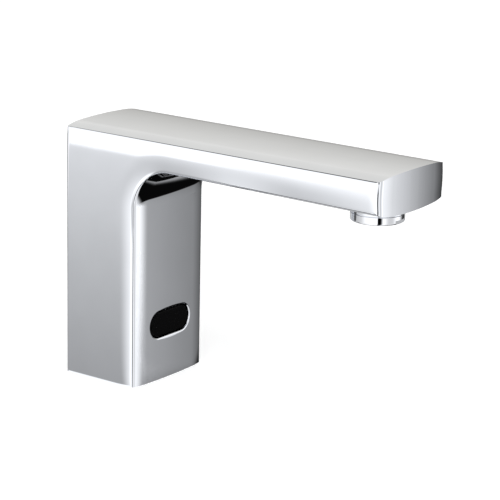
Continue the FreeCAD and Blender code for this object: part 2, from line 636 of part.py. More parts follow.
def body_shell():
    shell = casting_outside().cut(casting_hollow())
    for extra in base_lugs() + eye_lugs() + nozzle_boss():
        shell = shell.fuse(extra)
    for cutter in nozzle_bores() + eye_opening():
        shell = shell.cut(cutter)
    for x, y in base_screw_places():
        hole_top = base_screw_top() + TAPPED_HOLE_EXTRA
        hole = upright(BASE_SCREW_RADIUS + THREAD_CLEARANCE, x, y, GASKET_THICKNESS, hole_top)
        shell = shell.cut(hole)
    for side in (1, -1):
        start = Vector(side * EYE_SCREW_X, BRACKET_BACK, WINDOW_HEIGHT)
        depth = EYE_SCREW_LENGTH + TAPPED_HOLE_EXTRA
        shell = shell.cut(rod(EYE_SCREW_RADIUS + THREAD_CLEARANCE, start, depth, -Y_AXIS))
    return shell.removeSplitter()


# ---- deck fixing ----
def foot_slab(inset, z_low, z_high):
    """A slab in the casting's open foot, clear of its walls by inset."""
    return box(inset - HOLLOW_HALF_WIDTH, HOLLOW_HALF_WIDTH - inset,
               HOLLOW_FRONT + inset, HOLLOW_BACK - inset, z_low, z_high)


def inlet_flange_clear():
    """Radius of the round recess that the inlet's hexagon turns in."""
    return INLET_FLANGE_ACROSS / math.sqrt(3) + LOOSE_GAP


def base_gasket():
    """A ring round the studs, the hose and the cable."""
    slab = foot_slab(BASE_GAP, 0, GASKET_THICKNESS)
    opening_inset = BASE_GAP + GASKET_RING_WIDTH
    return slab.cut(foot_slab(opening_inset, -CUT_OVERRUN, GASKET_THICKNESS + CUT_OVERRUN))


def base_plate():
    plate = foot_slab(BASE_GAP, GASKET_THICKNESS, BASE_PLATE_TOP)
    below = GASKET_THICKNESS - CUT_OVERRUN
    above = BASE_PLATE_TOP + CUT_OVERRUN
    for side in (1, -1):
        plate = plate.cut(upright(STUD_HOLE_RADIUS, side * STUD_SPACING / 2, 0, below, above))
    for x, y in base_screw_places():
        plate = plate.cut(upright(BASE_SCREW_RADIUS + HOLE_CLEARANCE, x, y, below, above))
        head_space = BASE_SCREW_HEAD_RADIUS + HOLE_CLEARANCE
        plate = plate.cut(upright(head_space, x, y, below, GASKET_THICKNESS + BASE_SCREW_HEAD_HEIGHT))
    plate = plate.cut(upright(INLET_NECK_RADIUS + HOLE_CLEARANCE, 0, VALVE_AXIS_Y, below, above))
    flange_top = GASKET_THICKNESS + INLET_FLANGE_THICKNESS
    plate = plate.cut(upright(inlet_flange_clear(), 0, VALVE_AXIS_Y, below, flange_top))
    return plate.cut(upright(GROMMET_RADIUS, 0, GROMMET_Y, below, above))


def base_screws():
    screws = []
    for x, y in base_screw_places():
        head = upright(BASE_SCREW_HEAD_RADIUS, x, y, GASKET_THICKNESS,
                       GASKET_THICKNESS + BASE_SCREW_HEAD_HEIGHT)
        shank = upright(BASE_SCREW_RADIUS, x, y, GASKET_THICKNESS, base_screw_top())
        socket = hexagon_prism(BASE_SCREW_SOCKET_ACROSS, x, y, GASKET_THICKNESS - CUT_OVERRUN,
                               GASKET_THICKNESS + BASE_SCREW_SOCKET_DEPTH)
        screws.append(head.fuse(shank).removeSplitter().cut(socket))
    return Part.makeCompound(screws)


def hexagon_prism(across_flats, x, y, z_low, z_high):
    radius = across_flats / math.sqrt(3)
    points = [Vector(x + radius * math.cos(math.radians(60 * step)),
                     y + radius * math.sin(math.radians(60 * step)), z_low) for step in range(7)]
    return Part.Face(Part.makePolygon(points)).extrude(Vector(0, 0, z_high - z_low))


def cable_grommet():
    sleeve = upright(GROMMET_RADIUS - THREAD_CLEARANCE, 0, GROMMET_Y, GASKET_THICKNESS, BASE_PLATE_TOP)
    flange_top = BASE_PLATE_TOP + GROMMET_FLANGE_THICKNESS
    flange = upright(GROMMET_FLANGE_RADIUS, 0, GROMMET_Y, BASE_PLATE_TOP, flange_top)
    bore = upright(GROMMET_BORE, 0, GROMMET_Y, GASKET_THICKNESS - CUT_OVERRUN, flange_top + CUT_OVERRUN)
    return sleeve.fuse(flange).cut(bore)


# ---- water inlet ----
def inlet_connector():
    neck = upright(INLET_NECK_RADIUS - THREAD_CLEARANCE, 0, VALVE_AXIS_Y, INLET_MOUTH, INLET_NECK_TOP)
    flange_top = GASKET_THICKNESS + INLET_FLANGE_THICKNESS
    flange = hexagon_prism(INLET_FLANGE_ACROSS, 0, VALVE_AXIS_Y, INLET_MOUTH, flange_top)
    connector = neck.fuse(flange).removeSplitter()
    thread_top = INLET_MOUTH + INLET_THREAD_LENGTH
    below = INLET_MOUTH - CUT_OVERRUN
    above = INLET_NECK_TOP + CUT_OVERRUN
    connector = connector.cut(upright(INLET_THREAD_RADIUS, 0, VALVE_AXIS_Y, below, thread_top))
    connector = connector.cut(upright(FILTER_RADIUS + 2 * LOOSE_GAP, 0, VALVE_AXIS_Y, below, above))
    seat = INLET_NECK_TOP - FILTER_SEAT_DEPTH
    return connector.cut(upright(FILTER_FLANGE_RADIUS + LOOSE_GAP, 0, VALVE_AXIS_Y, seat, above))


def inlet_filter():
    seat = INLET_NECK_TOP - FILTER_SEAT_DEPTH
    cup = upright(FILTER_RADIUS, 0, VALVE_AXIS_Y, seat - FILTER_HEIGHT, seat)
    flange_top = seat + FILTER_FLANGE_THICKNESS
    flange = upright(FILTER_FLANGE_RADIUS, 0, VALVE_AXIS_Y, seat, flange_top)
    hollow = upright(FILTER_RADIUS - FILTER_WALL, 0, VALVE_AXIS_Y,
                     seat - FILTER_HEIGHT + FILTER_WALL, flange_top + CUT_OVERRUN)
    return cup.fuse(flange).cut(hollow)


# ---- non-return valve ----
def check_valve_seat():
    outer = INLET_NECK_RADIUS - THREAD_CLEARANCE
    return upright_ring(outer, CHECK_SEAT_BORE, VALVE_AXIS_Y, INLET_NECK_TOP, CHECK_SEAT_TOP)


def check_valve_poppet():
    disc = upright(POPPET_RADIUS, 0, VALVE_AXIS_Y, CHECK_SEAT_TOP, POPPET_TOP)
    stem_top = POPPET_TOP + POPPET_STEM_LENGTH
    return fused([disc, upright(POPPET_STEM_RADIUS, 0, VALVE_AXIS_Y, CHECK_SEAT_TOP, stem_top)])


def check_valve_cage():
    outer = INLET_NECK_RADIUS - THREAD_CLEARANCE
    cage = upright(outer, 0, VALVE_AXIS_Y, CHECK_SEAT_TOP, CHECK_CAGE_TOP)
    inner = outer - CHECK_CAGE_WALL
    above = CHECK_CAGE_TOP + CUT_OVERRUN
    cage = cage.cut(upright(inner, 0, VALVE_AXIS_Y, CHECK_SEAT_TOP - CUT_OVERRUN, CHECK_LID_BOTTOM))
    stem_hole = POPPET_STEM_RADIUS + SLIDE_CLEARANCE
    cage = cage.cut(upright(stem_hole, 0, VALVE_AXIS_Y, CHECK_SEAT_TOP, above))
    for step in range(CHECK_PORT_COUNT):
        angle = 2 * math.pi * step / CHECK_PORT_COUNT
        x = CHECK_PORT_CIRCLE * math.cos(angle)
        y = VALVE_AXIS_Y + CHECK_PORT_CIRCLE * math.sin(angle)
        cage = cage.cut(upright(CHECK_PORT_RADIUS, x, y, CHECK_SEAT_TOP, above))
    return cage


def check_valve_spring():
    return coil_spring(CHECK_SPRING_MEAN_RADIUS, CHECK_SPRING_WIRE, CHECK_SPRING_TURNS, VALVE_AXIS_Y,
                       POPPET_TOP, CHECK_LID_BOTTOM)


# ---- main valve ----
def solenoid_screw_places():
    return [(side * SOLENOID_SCREW_X, VALVE_AXIS_Y + end * SOLENOID_SCREW_REACH)
            for side in (1, -1) for end in (1, -1)]


def solenoid_screw_bottom():
    return BONNET_TOP - SOLENOID_SCREW_LENGTH


def valve_body():
    foot = box(-VALVE_FOOT_HALF_WIDTH, VALVE_FOOT_HALF_WIDTH, VALVE_FOOT_FRONT, VALVE_BACK,
               BASE_PLATE_TOP, VALVE_HEAD_BOTTOM)
    head = box(-VALVE_HEAD_HALF_WIDTH, VALVE_HEAD_HALF_WIDTH, VALVE_HEAD_FRONT, VALVE_BACK,
               VALVE_HEAD_BOTTOM, VALVE_TOP)
    body = foot.fuse(head).removeSplitter()
    above = VALVE_TOP + CUT_OVERRUN
    seat_tube = upright(MAIN_SEAT_BORE + MAIN_SEAT_LIP, 0, VALVE_AXIS_Y,
                        INLET_CHAMBER_FLOOR, MAIN_SEAT_HEIGHT)
    chamber = upright(INLET_CHAMBER_RADIUS, 0, VALVE_AXIS_Y, INLET_CHAMBER_FLOOR, above)
    cross_port_start = Vector(0, VALVE_AXIS_Y, CROSS_PORT_HEIGHT)
    groove_low = lower_seal_height() - SEAL_GROOVE_WIDTH / 2
    cutters = [upright(INLET_NECK_RADIUS, 0, VALVE_AXIS_Y, BASE_PLATE_TOP - CUT_OVERRUN, CHECK_CAGE_TOP),
               upright(INLET_NECK_RADIUS - CAGE_SHOULDER, 0, VALVE_AXIS_Y,
                       CHECK_CAGE_TOP - CUT_OVERRUN, CHECK_BORE_TOP),
               chamber.cut(seat_tube),
               upright(DIAPHRAGM_RADIUS, 0, VALVE_AXIS_Y, DIAPHRAGM_FLOOR, above),
               upright(MAIN_SEAT_BORE, 0, VALVE_AXIS_Y, CROSS_PORT_HEIGHT, VALVE_TOP),
               rod(CROSS_PORT_RADIUS, cross_port_start, VALVE_AXIS_Y - TUBE_RISER_Y, -Y_AXIS),
               upright(MAIN_SEAT_BORE, TUBE_X, TUBE_RISER_Y, CROSS_PORT_HEIGHT, VALVE_TOP),
               upright(TUBE_RADIUS + THREAD_CLEARANCE, TUBE_X, TUBE_RISER_Y, TUBE_SOCKET_FLOOR, above),
               upright(SEAL_GROOVE_RADIUS, TUBE_X, TUBE_RISER_Y, groove_low, groove_low + SEAL_GROOVE_WIDTH)]
    for side in (1, -1):
        cutters.append(upright(INLET_CHANNEL_RADIUS, side * INLET_CHANNEL_X, VALVE_AXIS_Y,
                               CHECK_CAGE_TOP + CHANNEL_SHOULDER, INLET_CHAMBER_FLOOR + CUT_OVERRUN))
    for x, y in solenoid_screw_places():
        cutters.append(upright(SOLENOID_SCREW_RADIUS + THREAD_CLEARANCE, x, y,
                               solenoid_screw_bottom() - TAPPED_HOLE_EXTRA, above))
    for cutter in cutters:
        body = body.cut(cutter)
    return body


def valve_diaphragm():
    inner = CORE_RADIUS + SLIDE_CLEARANCE
    outer = DIAPHRAGM_RADIUS - THREAD_CLEARANCE
    return upright_ring(outer, inner, VALVE_AXIS_Y, DIAPHRAGM_FLOOR, DIAPHRAGM_FLOOR + DIAPHRAGM_THICKNESS)


def diaphragm_core():
    core = upright(CORE_RADIUS, 0, VALVE_AXIS_Y, MAIN_SEAT_HEIGHT, CORE_TOP)
    bleed_hole = upright(BLEED_HOLE_RADIUS, CORE_RADIUS - BLEED_HOLE_INSET, VALVE_AXIS_Y,
                         MAIN_SEAT_HEIGHT - CUT_OVERRUN, CORE_TOP + CUT_OVERRUN)
    return core.cut(bleed_hole)


def diaphragm_spring():
    return coil_spring(CORE_SPRING_MEAN_RADIUS, CORE_SPRING_WIRE, CORE_SPRING_TURNS, VALVE_AXIS_Y,
                       CORE_TOP, CONTROL_CHAMBER_TOP)


# ---- solenoid ----
def solenoid_bonnet():
    flange = box(-VALVE_HEAD_HALF_WIDTH, VALVE_HEAD_HALF_WIDTH, BONNET_FRONT, VALVE_BACK,
                 VALVE_TOP, BONNET_TOP)
    skirt_bottom = DIAPHRAGM_FLOOR + DIAPHRAGM_THICKNESS
    skirt = upright(DIAPHRAGM_RADIUS - THREAD_CLEARANCE, 0, VALVE_AXIS_Y, skirt_bottom, VALVE_TOP)
    tube = upright(GUIDE_RADIUS, 0, VALVE_AXIS_Y, BONNET_TOP, GUIDE_TOP)
    nozzle_top = BONNET_TOP + PILOT_NOZZLE_HEIGHT
    nozzle = upright(PILOT_NOZZLE_RADIUS, 0, VALVE_AXIS_Y, BONNET_TOP, nozzle_top)
    bonnet = flange.fuse(skirt).fuse(tube)
    bonnet = bonnet.cut(upright(INLET_CHAMBER_RADIUS, 0, VALVE_AXIS_Y, skirt_bottom - CUT_OVERRUN,
                                CONTROL_CHAMBER_TOP))
    bonnet = bonnet.cut(upright(GUIDE_BORE, 0, VALVE_AXIS_Y, BONNET_TOP, GUIDE_TOP + CUT_OVERRUN))
    bonnet = bonnet.fuse(nozzle)
    bonnet = bonnet.cut(upright(PILOT_BORE, 0, VALVE_AXIS_Y, VALVE_TOP, nozzle_top + CUT_OVERRUN))
    for x, y in solenoid_screw_places():
        bonnet = bonnet.cut(upright(SOLENOID_SCREW_RADIUS + HOLE_CLEARANCE, x, y,
                                    VALVE_TOP - CUT_OVERRUN, BONNET_TOP + CUT_OVERRUN))
    return bonnet.removeSplitter()


def solenoid_screws():
    screws = []
    for x, y in solenoid_screw_places():
        shank = upright(SOLENOID_SCREW_RADIUS, x, y, solenoid_screw_bottom(), BONNET_TOP)
        head = upright(SOLENOID_SCREW_HEAD_RADIUS, x, y, BONNET_TOP,
                       BONNET_TOP + SOLENOID_SCREW_HEAD_HEIGHT)
        screws.append(shank.fuse(head))
    return Part.makeCompound(screws)


def solenoid_plunger():
    radius = GUIDE_BORE - SLIDE_CLEARANCE
    plunger = upright(radius, 0, VALVE_AXIS_Y, PLUNGER_BOTTOM, PLUNGER_TOP)
    pocket = upright(PLUNGER_POCKET_RADIUS, 0, VALVE_AXIS_Y,
                     PLUNGER_TOP - PLUNGER_POCKET_DEPTH, PLUNGER_TOP + CUT_OVERRUN)
    tip_depth = PLUNGER_TIP_THICKNESS - PLUNGER_TIP_PROUD
    tip_pocket = upright(PLUNGER_TIP_RADIUS + THREAD_CLEARANCE, 0, VALVE_AXIS_Y,
                         PLUNGER_BOTTOM - CUT_OVERRUN, PLUNGER_BOTTOM + tip_depth)
    return plunger.cut(pocket).cut(tip_pocket)


def plunger_tip():
    low = PLUNGER_BOTTOM - PLUNGER_TIP_PROUD
    return upright(PLUNGER_TIP_RADIUS, 0, VALVE_AXIS_Y, low, low + PLUNGER_TIP_THICKNESS)


def plunger_spring():
    return coil_spring(PLUNGER_SPRING_MEAN_RADIUS, PLUNGER_SPRING_WIRE, PLUNGER_SPRING_TURNS, VALVE_AXIS_Y,
                       PLUNGER_TOP - PLUNGER_POCKET_DEPTH, STOP_BOTTOM)


def solenoid_stop():
    """Fixed pole piece that closes the guide tube."""
    stem = upright(GUIDE_BORE - THREAD_CLEARANCE, 0, VALVE_AXIS_Y, STOP_BOTTOM, GUIDE_TOP)
    head = upright(GUIDE_RADIUS, 0, VALVE_AXIS_Y, GUIDE_TOP, GUIDE_TOP + STOP_HEAD_THICKNESS)
    return stem.fuse(head)


def latching_magnet():
    low = GUIDE_TOP + STOP_HEAD_THICKNESS
    return upright(MAGNET_RADIUS, 0, VALVE_AXIS_Y, low, low + MAGNET_THICKNESS)


def solenoid_yoke():
    front = VALVE_AXIS_Y - YOKE_HALF_DEPTH
    back = VALVE_AXIS_Y + YOKE_HALF_DEPTH
    frame = box(-YOKE_HALF_WIDTH, YOKE_HALF_WIDTH, front, back, BONNET_TOP, YOKE_TOP)
    inner = YOKE_HALF_WIDTH - YOKE_SIDE_THICKNESS
    below = BONNET_TOP - CUT_OVERRUN
    above = YOKE_TOP + CUT_OVERRUN
    frame = frame.cut(box(-inner, inner, front - CUT_OVERRUN, back + CUT_OVERRUN,
                          BONNET_TOP + YOKE_THICKNESS, YOKE_TOP - YOKE_THICKNESS))
    frame = frame.cut(upright(GUIDE_RADIUS + THREAD_CLEARANCE, 0, VALVE_AXIS_Y, below, above))
    for x, y in solenoid_screw_places():
        head_space = SOLENOID_SCREW_HEAD_RADIUS + HOLE_CLEARANCE
        frame = frame.cut(upright(head_space, x, y, below, above))
    lead_hole_start = Vector(0, VALVE_AXIS_Y, LEAD_END_HEIGHT)
    lead_hole_length = YOKE_HALF_WIDTH + CUT_OVERRUN
    return frame.cut(rod(LEAD_RADIUS + LEAD_HOLE_CLEARANCE, lead_hole_start, lead_hole_length, X_AXIS))


def coil_bobbin():
    low = BONNET_TOP + YOKE_THICKNESS
    high = YOKE_TOP - YOKE_THICKNESS
    inner = GUIDE_RADIUS + THREAD_CLEARANCE
    tube = upright_ring(inner + BOBBIN_WALL, inner, VALVE_AXIS_Y, low, high)
    lower = upright_ring(BOBBIN_RADIUS, inner, VALVE_AXIS_Y, low, low + BOBBIN_FLANGE)
    upper = upright_ring(BOBBIN_RADIUS, inner, VALVE_AXIS_Y, high - BOBBIN_FLANGE, high)
    return fused([tube, lower, upper])


def coil_winding():
    low = BONNET_TOP + YOKE_THICKNESS + BOBBIN_FLANGE
    high = YOKE_TOP - YOKE_THICKNESS - BOBBIN_FLANGE
    inner = GUIDE_RADIUS + THREAD_CLEARANCE + BOBBIN_WALL + THREAD_CLEARANCE
    return upright_ring(WINDING_RADIUS, inner, VALVE_AXIS_Y, low, high)


# ---- outlet tube and its seals ----
def tube_path():
    bend_centre_y = TUBE_RISER_Y - TUBE_BEND_RADIUS
    bend_start_z = TUBE_LEVEL - TUBE_BEND_RADIUS
    half = TUBE_BEND_RADIUS * math.sqrt(0.5)
    start = Vector(TUBE_X, TUBE_RISER_Y, TUBE_SOCKET_FLOOR)
    bend_start = Vector(TUBE_X, TUBE_RISER_Y, bend_start_z)
    bend_middle = Vector(TUBE_X, bend_centre_y + half, bend_start_z + half)
    bend_end = Vector(TUBE_X, bend_centre_y, TUBE_LEVEL)
    end = Vector(TUBE_X, NOZZLE_Y + TUBE_END_SETBACK, TUBE_LEVEL)
    return Part.Wire([Part.LineSegment(start, bend_start).toShape(),
                      Part.Arc(bend_start, bend_middle, bend_end).toShape(),
                      Part.LineSegment(bend_end, end).toShape()])


def pipe(path, radius, start, direction):
    section = Part.Wire(Part.makeCircle(radius, start, direction))
    return path.makePipeShell([section], True, False)


def outlet_tube():
    start = Vector(TUBE_X, TUBE_RISER_Y, TUBE_SOCKET_FLOOR)
    outside = pipe(tube_path(), TUBE_RADIUS, start, Z_AXIS)
    inside = pipe(tube_path(), TUBE_BORE, start, Z_AXIS)
    return outside.cut(inside)


def lower_seal_height():
    return VALVE_TOP - TUBE_SOCKET_DEPTH / 2


def seal_major_radius():
    return (TUBE_RADIUS + SEAL_GROOVE_RADIUS) / 2


def tube_seal_lower():
    return Part.makeTorus(seal_major_radius(), SEAL_CORD_RADIUS,
                          Vector(TUBE_X, TUBE_RISER_Y, lower_seal_height()), Z_AXIS)


def tube_seal_upper():
    return Part.makeTorus(seal_major_radius(), SEAL_CORD_RADIUS,
                          Vector(TUBE_X, NOZZLE_Y + TUBE_SEAL_SETBACK, TUBE_LEVEL), Y_AXIS)


# ---- aerator ----
def aerator_housing():
    collar = upright(NOZZLE_RADIUS, 0, NOZZLE_Y, AERATOR_BOTTOM, NECK_BOTTOM)
    collar = collar.makeFillet(AERATOR_EDGE_ROUND, circle_edges(collar, AERATOR_BOTTOM, NOZZLE_RADIUS))
    collar = collar.makeChamfer(AERATOR_SEAM_BEVEL, circle_edges(collar, NECK_BOTTOM, NOZZLE_RADIUS))
    flat_reach = NOZZLE_RADIUS - AERATOR_FLAT_DEPTH
    far_reach = NOZZLE_RADIUS + CUT_OVERRUN
    flat_top = (AERATOR_BOTTOM + NECK_BOTTOM) / 2
    for low_y, high_y in ((flat_reach, far_reach), (-far_reach, -flat_reach)):
        collar = collar.cut(box(-AERATOR_FLAT_HALF_WIDTH, AERATOR_FLAT_HALF_WIDTH,
                                NOZZLE_Y + low_y, NOZZLE_Y + high_y, AERATOR_BOTTOM - CUT_OVERRUN, flat_top))
    sleeve_top = NECK_BOTTOM + AERATOR_THREAD_LENGTH
    sleeve = upright(AERATOR_THREAD_RADIUS - THREAD_CLEARANCE, 0, NOZZLE_Y, NECK_BOTTOM, sleeve_top)
    housing = collar.fuse(sleeve)
    lip_top = AERATOR_BOTTOM + AERATOR_LIP_THICKNESS
    housing = housing.cut(upright(AERATOR_LIP_BORE, 0, NOZZLE_Y,
                                  AERATOR_BOTTOM - CUT_OVERRUN, lip_top + CUT_OVERRUN))
    housing = housing.cut(upright(AERATOR_BORE, 0, NOZZLE_Y, lip_top, sleeve_top + CUT_OVERRUN))
    return housing.removeSplitter()


def aerator_mesh():
    """Grid at the outlet, inside a round frame that rests on the housing's lip."""
    low = AERATOR_BOTTOM + AERATOR_LIP_THICKNESS
    outer = AERATOR_BORE - LOOSE_GAP
    mesh = upright(outer, 0, NOZZLE_Y, low, low + MESH_THICKNESS)
    opening = outer - MESH_FRAME
    below = low - CUT_OVERRUN
    above = low + MESH_THICKNESS + CUT_OVERRUN
    window = upright(opening, 0, NOZZLE_Y, below, above)
    bars = []
    count = int(opening / MESH_PITCH)
    for step in range(-count, count + 1):
        bar_low = step * MESH_PITCH - MESH_BAR / 2
        bar_high = bar_low + MESH_BAR
        bars.append(box(bar_low, bar_high, NOZZLE_Y - outer, NOZZLE_Y + outer, below, above))
        bars.append(box(-outer, outer, NOZZLE_Y + bar_low, NOZZLE_Y + bar_high, below, above))
    return mesh.cut(window.cut(bars[0].multiFuse(bars[1:])))


def aerator_insert():
    """Flow straightener: a cup with a hub and ribs, standing on the mesh."""
    low = AERATOR_BOTTOM + AERATOR_LIP_THICKNESS + MESH_THICKNESS
    high = NECK_BOTTOM + AERATOR_THREAD_LENGTH
    outer = AERATOR_BORE - LOOSE_GAP
    rim = upright_ring(outer, outer - INSERT_WALL, NOZZLE_Y, low, high)
    hub = upright(INSERT_HUB_RADIUS, 0, NOZZLE_Y, low, high - INSERT_HUB_DROP)
    ribs = []
    for step in range(INSERT_RIBS):
        rib = box(0, outer - INSERT_WALL / 2, NOZZLE_Y - INSERT_RIB_WIDTH / 2,
                  NOZZLE_Y + INSERT_RIB_WIDTH / 2, low, high - INSERT_RIB_DROP)
        rib.rotate(Vector(0, NOZZLE_Y, 0), Z_AXIS, 360 * step / INSERT_RIBS)
        ribs.append(rib)
    return rim.multiFuse([hub] + ribs).removeSplitter()


def aerator_washer():
    low = NECK_BOTTOM + AERATOR_THREAD_LENGTH
    outer = AERATOR_THREAD_RADIUS - LOOSE_GAP
    return upright_ring(outer, AERATOR_WASHER_BORE, NOZZLE_Y, low, AERATOR_SHOULDER)


# ---- sensor eye ----
def sensor_window():
    front = WINDOW_RECESS - COLUMN_FRONT
    bevel = stadium_taper(-WINDOW_BEVEL, 0, front, front + WINDOW_BEVEL)
    plug = stadium_block(0, front + WINDOW_BEVEL, EYE_SEAL_BACK)
    flange = stadium_block(WINDOW_FLANGE, EYE_SEAL_BACK, EYE_FLANGE_BACK)
    return fused([bevel, plug, flange])


def sensor_seal():
    outer = stadium_block(WINDOW_FLANGE, HOLLOW_FRONT, EYE_SEAL_BACK)
    opening = stadium_block(LOOSE_GAP, HOLLOW_FRONT - CUT_OVERRUN, EYE_SEAL_BACK + CUT_OVERRUN)
    return outer.cut(opening)


def eye_box(half_width, half_height, y_front, y_back):
    return box(-half_width, half_width, y_front, y_back,
               WINDOW_HEIGHT - half_height, WINDOW_HEIGHT + half_height)


def sensor_housing():
    case = eye_box(EYE_CASE_HALF_WIDTH, EYE_CASE_HALF_HEIGHT, EYE_FLANGE_BACK, EYE_CASE_BACK)
    inside = eye_box(EYE_CASE_HALF_WIDTH - EYE_CASE_WALL, EYE_CASE_HALF_HEIGHT - EYE_CASE_WALL,
                     EYE_FLANGE_BACK - CUT_OVERRUN, BOARD_BACK)
    return case.cut(inside)


def sensor_board():
    return eye_box(EYE_CASE_HALF_WIDTH - EYE_CASE_WALL - BOARD_MARGIN,
                   EYE_CASE_HALF_HEIGHT - EYE_CASE_WALL - BOARD_MARGIN, BOARD_FRONT, BOARD_BACK)


def diode(x, z, radius, length):
    """A round-nosed diode standing on the board and looking out through the lens."""
    straight = length - radius
    body = rod(radius, Vector(x, BOARD_FRONT, z), straight, -Y_AXIS)
    nose = Part.makeSphere(radius, Vector(x, BOARD_FRONT - straight, z))
    return body.fuse(nose.cut(box(x - 2 * radius, x + 2 * radius, BOARD_FRONT - straight,
                                  BOARD_FRONT + 2 * radius, z - 2 * radius, z + 2 * radius)))


def ir_emitter():
    return diode(DIODE_SPACING / 2, WINDOW_HEIGHT, DIODE_RADIUS, DIODE_LENGTH)


def ir_receiver():
    return diode(-DIODE_SPACING / 2, WINDOW_HEIGHT, DIODE_RADIUS, DIODE_LENGTH)


def status_led():
    return diode(0, WINDOW_HEIGHT, STATUS_LED_RADIUS, STATUS_LED_LENGTH)


def sensor_bracket():
    half_width = HOLLOW_HALF_WIDTH - BRACKET_GAP
    plate = eye_box(half_width, BRACKET_HALF_HEIGHT, EYE_CASE_BACK, BRACKET_BACK)
    for side in (1, -1):
        start = Vector(side * EYE_SCREW_X, EYE_CASE_BACK - CUT_OVERRUN, WINDOW_HEIGHT)
        length = BRACKET_THICKNESS + 2 * CUT_OVERRUN
        plate = plate.cut(rod(EYE_SCREW_RADIUS + HOLE_CLEARANCE, start, length, Y_AXIS))
    return plate


def bracket_screws():
    screws = []
    for side in (1, -1):
        seat = Vector(side * EYE_SCREW_X, BRACKET_BACK, WINDOW_HEIGHT)
        head = rod(EYE_SCREW_HEAD_RADIUS, seat, EYE_SCREW_HEAD_HEIGHT, Y_AXIS)
        screws.append(head.fuse(rod(EYE_SCREW_RADIUS, seat, EYE_SCREW_LENGTH, -Y_AXIS)))
    return Part.makeCompound(screws)


# ---- the lead from the sensor to the coil ----
def rounded_path(points):
    """Straight runs joined by tangent arcs, each as large as its two runs allow."""
    edges = []
    here = points[0]
    for before, corner, after in zip(points, points[1:], points[2:]):
        back = (before - corner).normalize()
        ahead = (after - corner).normalize()
        shorter = min((before - corner).Length, (after - corner).Length)
        setback = LEAD_ARC_SHARE * shorter
        middle_line = (back + ahead).normalize()
        half_turn = (math.pi - back.getAngle(ahead)) / 2
        radius = setback / math.tan(half_turn)
        arc_start = corner + back * setback
        arc_end = corner + ahead * setback
        apex = corner + middle_line * (radius / math.cos(half_turn) - radius)
        edges.append(Part.LineSegment(here, arc_start).toShape())
        edges.append(Part.Arc(arc_start, apex, arc_end).toShape())
        here = arc_end
    edges.append(Part.LineSegment(here, points[-1]).toShape())
    return Part.Wire(edges)


def solenoid_lead():
    start = Vector(LEAD_X, LEAD_START_Y, WINDOW_HEIGHT + EYE_CASE_HALF_HEIGHT)
    knee = Vector(LEAD_X, LEAD_START_Y, LEAD_KNEE)
    corner = Vector(LEAD_X, VALVE_AXIS_Y, LEAD_END_HEIGHT)
    end = Vector(WINDING_RADIUS + LOOSE_GAP, VALVE_AXIS_Y, LEAD_END_HEIGHT)
    return pipe(rounded_path([start, knee, corner, end]), LEAD_RADIUS, start, Z_AXIS)


NODES = [body_shell, base_plate, base_gasket, base_screws, cable_grommet,
         inlet_connector, inlet_filter, check_valve_seat, check_valve_poppet, check_valve_cage,
         check_valve_spring, valve_body, valve_diaphragm, diaphragm_core, diaphragm_spring,
         solenoid_bonnet, solenoid_screws, solenoid_plunger, plunger_tip, plunger_spring,
         solenoid_stop, latching_magnet, solenoid_yoke, coil_bobbin, coil_winding,
         outlet_tube, tube_seal_lower, tube_seal_upper,
         aerator_housing, aerator_mesh, aerator_insert, aerator_washer,
         sensor_window, sensor_seal, sensor_housing, sensor_board, ir_emitter, ir_receiver,
         status_led, sensor_bracket, bracket_screws, solenoid_lead]

os.makedirs("parts", exist_ok=True)
for make in NODES:
    shape = make()
    shape.exportStep("parts/" + make.__name__ + ".step")
    print(make.__name__, "solids", len(shape.Solids), "valid", shape.isValid(),
          "volume", round(shape.Volume, 1))
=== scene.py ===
import bmesh
import bpy
import json
import math
from mathutils import Matrix, Vector


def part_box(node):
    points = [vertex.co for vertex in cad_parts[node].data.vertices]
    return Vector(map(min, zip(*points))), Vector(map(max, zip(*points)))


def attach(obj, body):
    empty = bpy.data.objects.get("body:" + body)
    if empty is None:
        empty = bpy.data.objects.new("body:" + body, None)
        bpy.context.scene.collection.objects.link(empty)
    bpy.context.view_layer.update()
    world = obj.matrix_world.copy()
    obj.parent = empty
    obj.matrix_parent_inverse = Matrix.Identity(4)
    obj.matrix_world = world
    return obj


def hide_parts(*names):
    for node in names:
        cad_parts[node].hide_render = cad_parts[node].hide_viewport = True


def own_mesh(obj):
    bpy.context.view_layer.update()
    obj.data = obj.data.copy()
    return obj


# Sensor tap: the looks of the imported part, its studio and its camera.
# Metres, +Z up, spout along -Y. The casting's skin is worked out in millimetres.

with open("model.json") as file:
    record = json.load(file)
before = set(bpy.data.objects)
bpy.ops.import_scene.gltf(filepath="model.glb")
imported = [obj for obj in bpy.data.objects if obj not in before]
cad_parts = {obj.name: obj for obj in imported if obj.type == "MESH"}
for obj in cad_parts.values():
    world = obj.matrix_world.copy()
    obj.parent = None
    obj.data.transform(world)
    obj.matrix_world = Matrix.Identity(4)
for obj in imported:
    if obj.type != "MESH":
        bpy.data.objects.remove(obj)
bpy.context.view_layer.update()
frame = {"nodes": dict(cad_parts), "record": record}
scene = bpy.context.scene

# ---- camera ----
CAMERA_AZIMUTH = -53.857     # degrees, 0 looks along +Y
CAMERA_ELEVATION = 15.249
CAMERA_ROLL = -1.205
CAMERA_DISTANCE = 0.96458
CAMERA_TARGET = Vector((0.0, -0.066399, 0.069726))
CAMERA_LENS = 152.906
CAMERA_SENSOR = 36.0
CAMERA_CLIP = (0.01, 50.0)

# ---- light ----
WHITE = (1.0, 1.0, 1.0)
WARM = (1.0, 0.985, 0.94)
SKY_LEVEL = 0.44             # of the light that falls on the tap
BACKGROUND_LEVEL = 1.0       # of the white that the camera and the chrome see
FLOOR_HALF = 6.0
FLOOR_COLOUR = (0.86, 0.86, 0.86)
FLOOR_GLOW = 0.42
# name, place, size and power of each lamp
LAMPS = (("key", (-0.9, -0.9, 1.5), 1.4, 14.0), ("fill", (1.0, 0.6, 1.5), 1.6, 9.0))

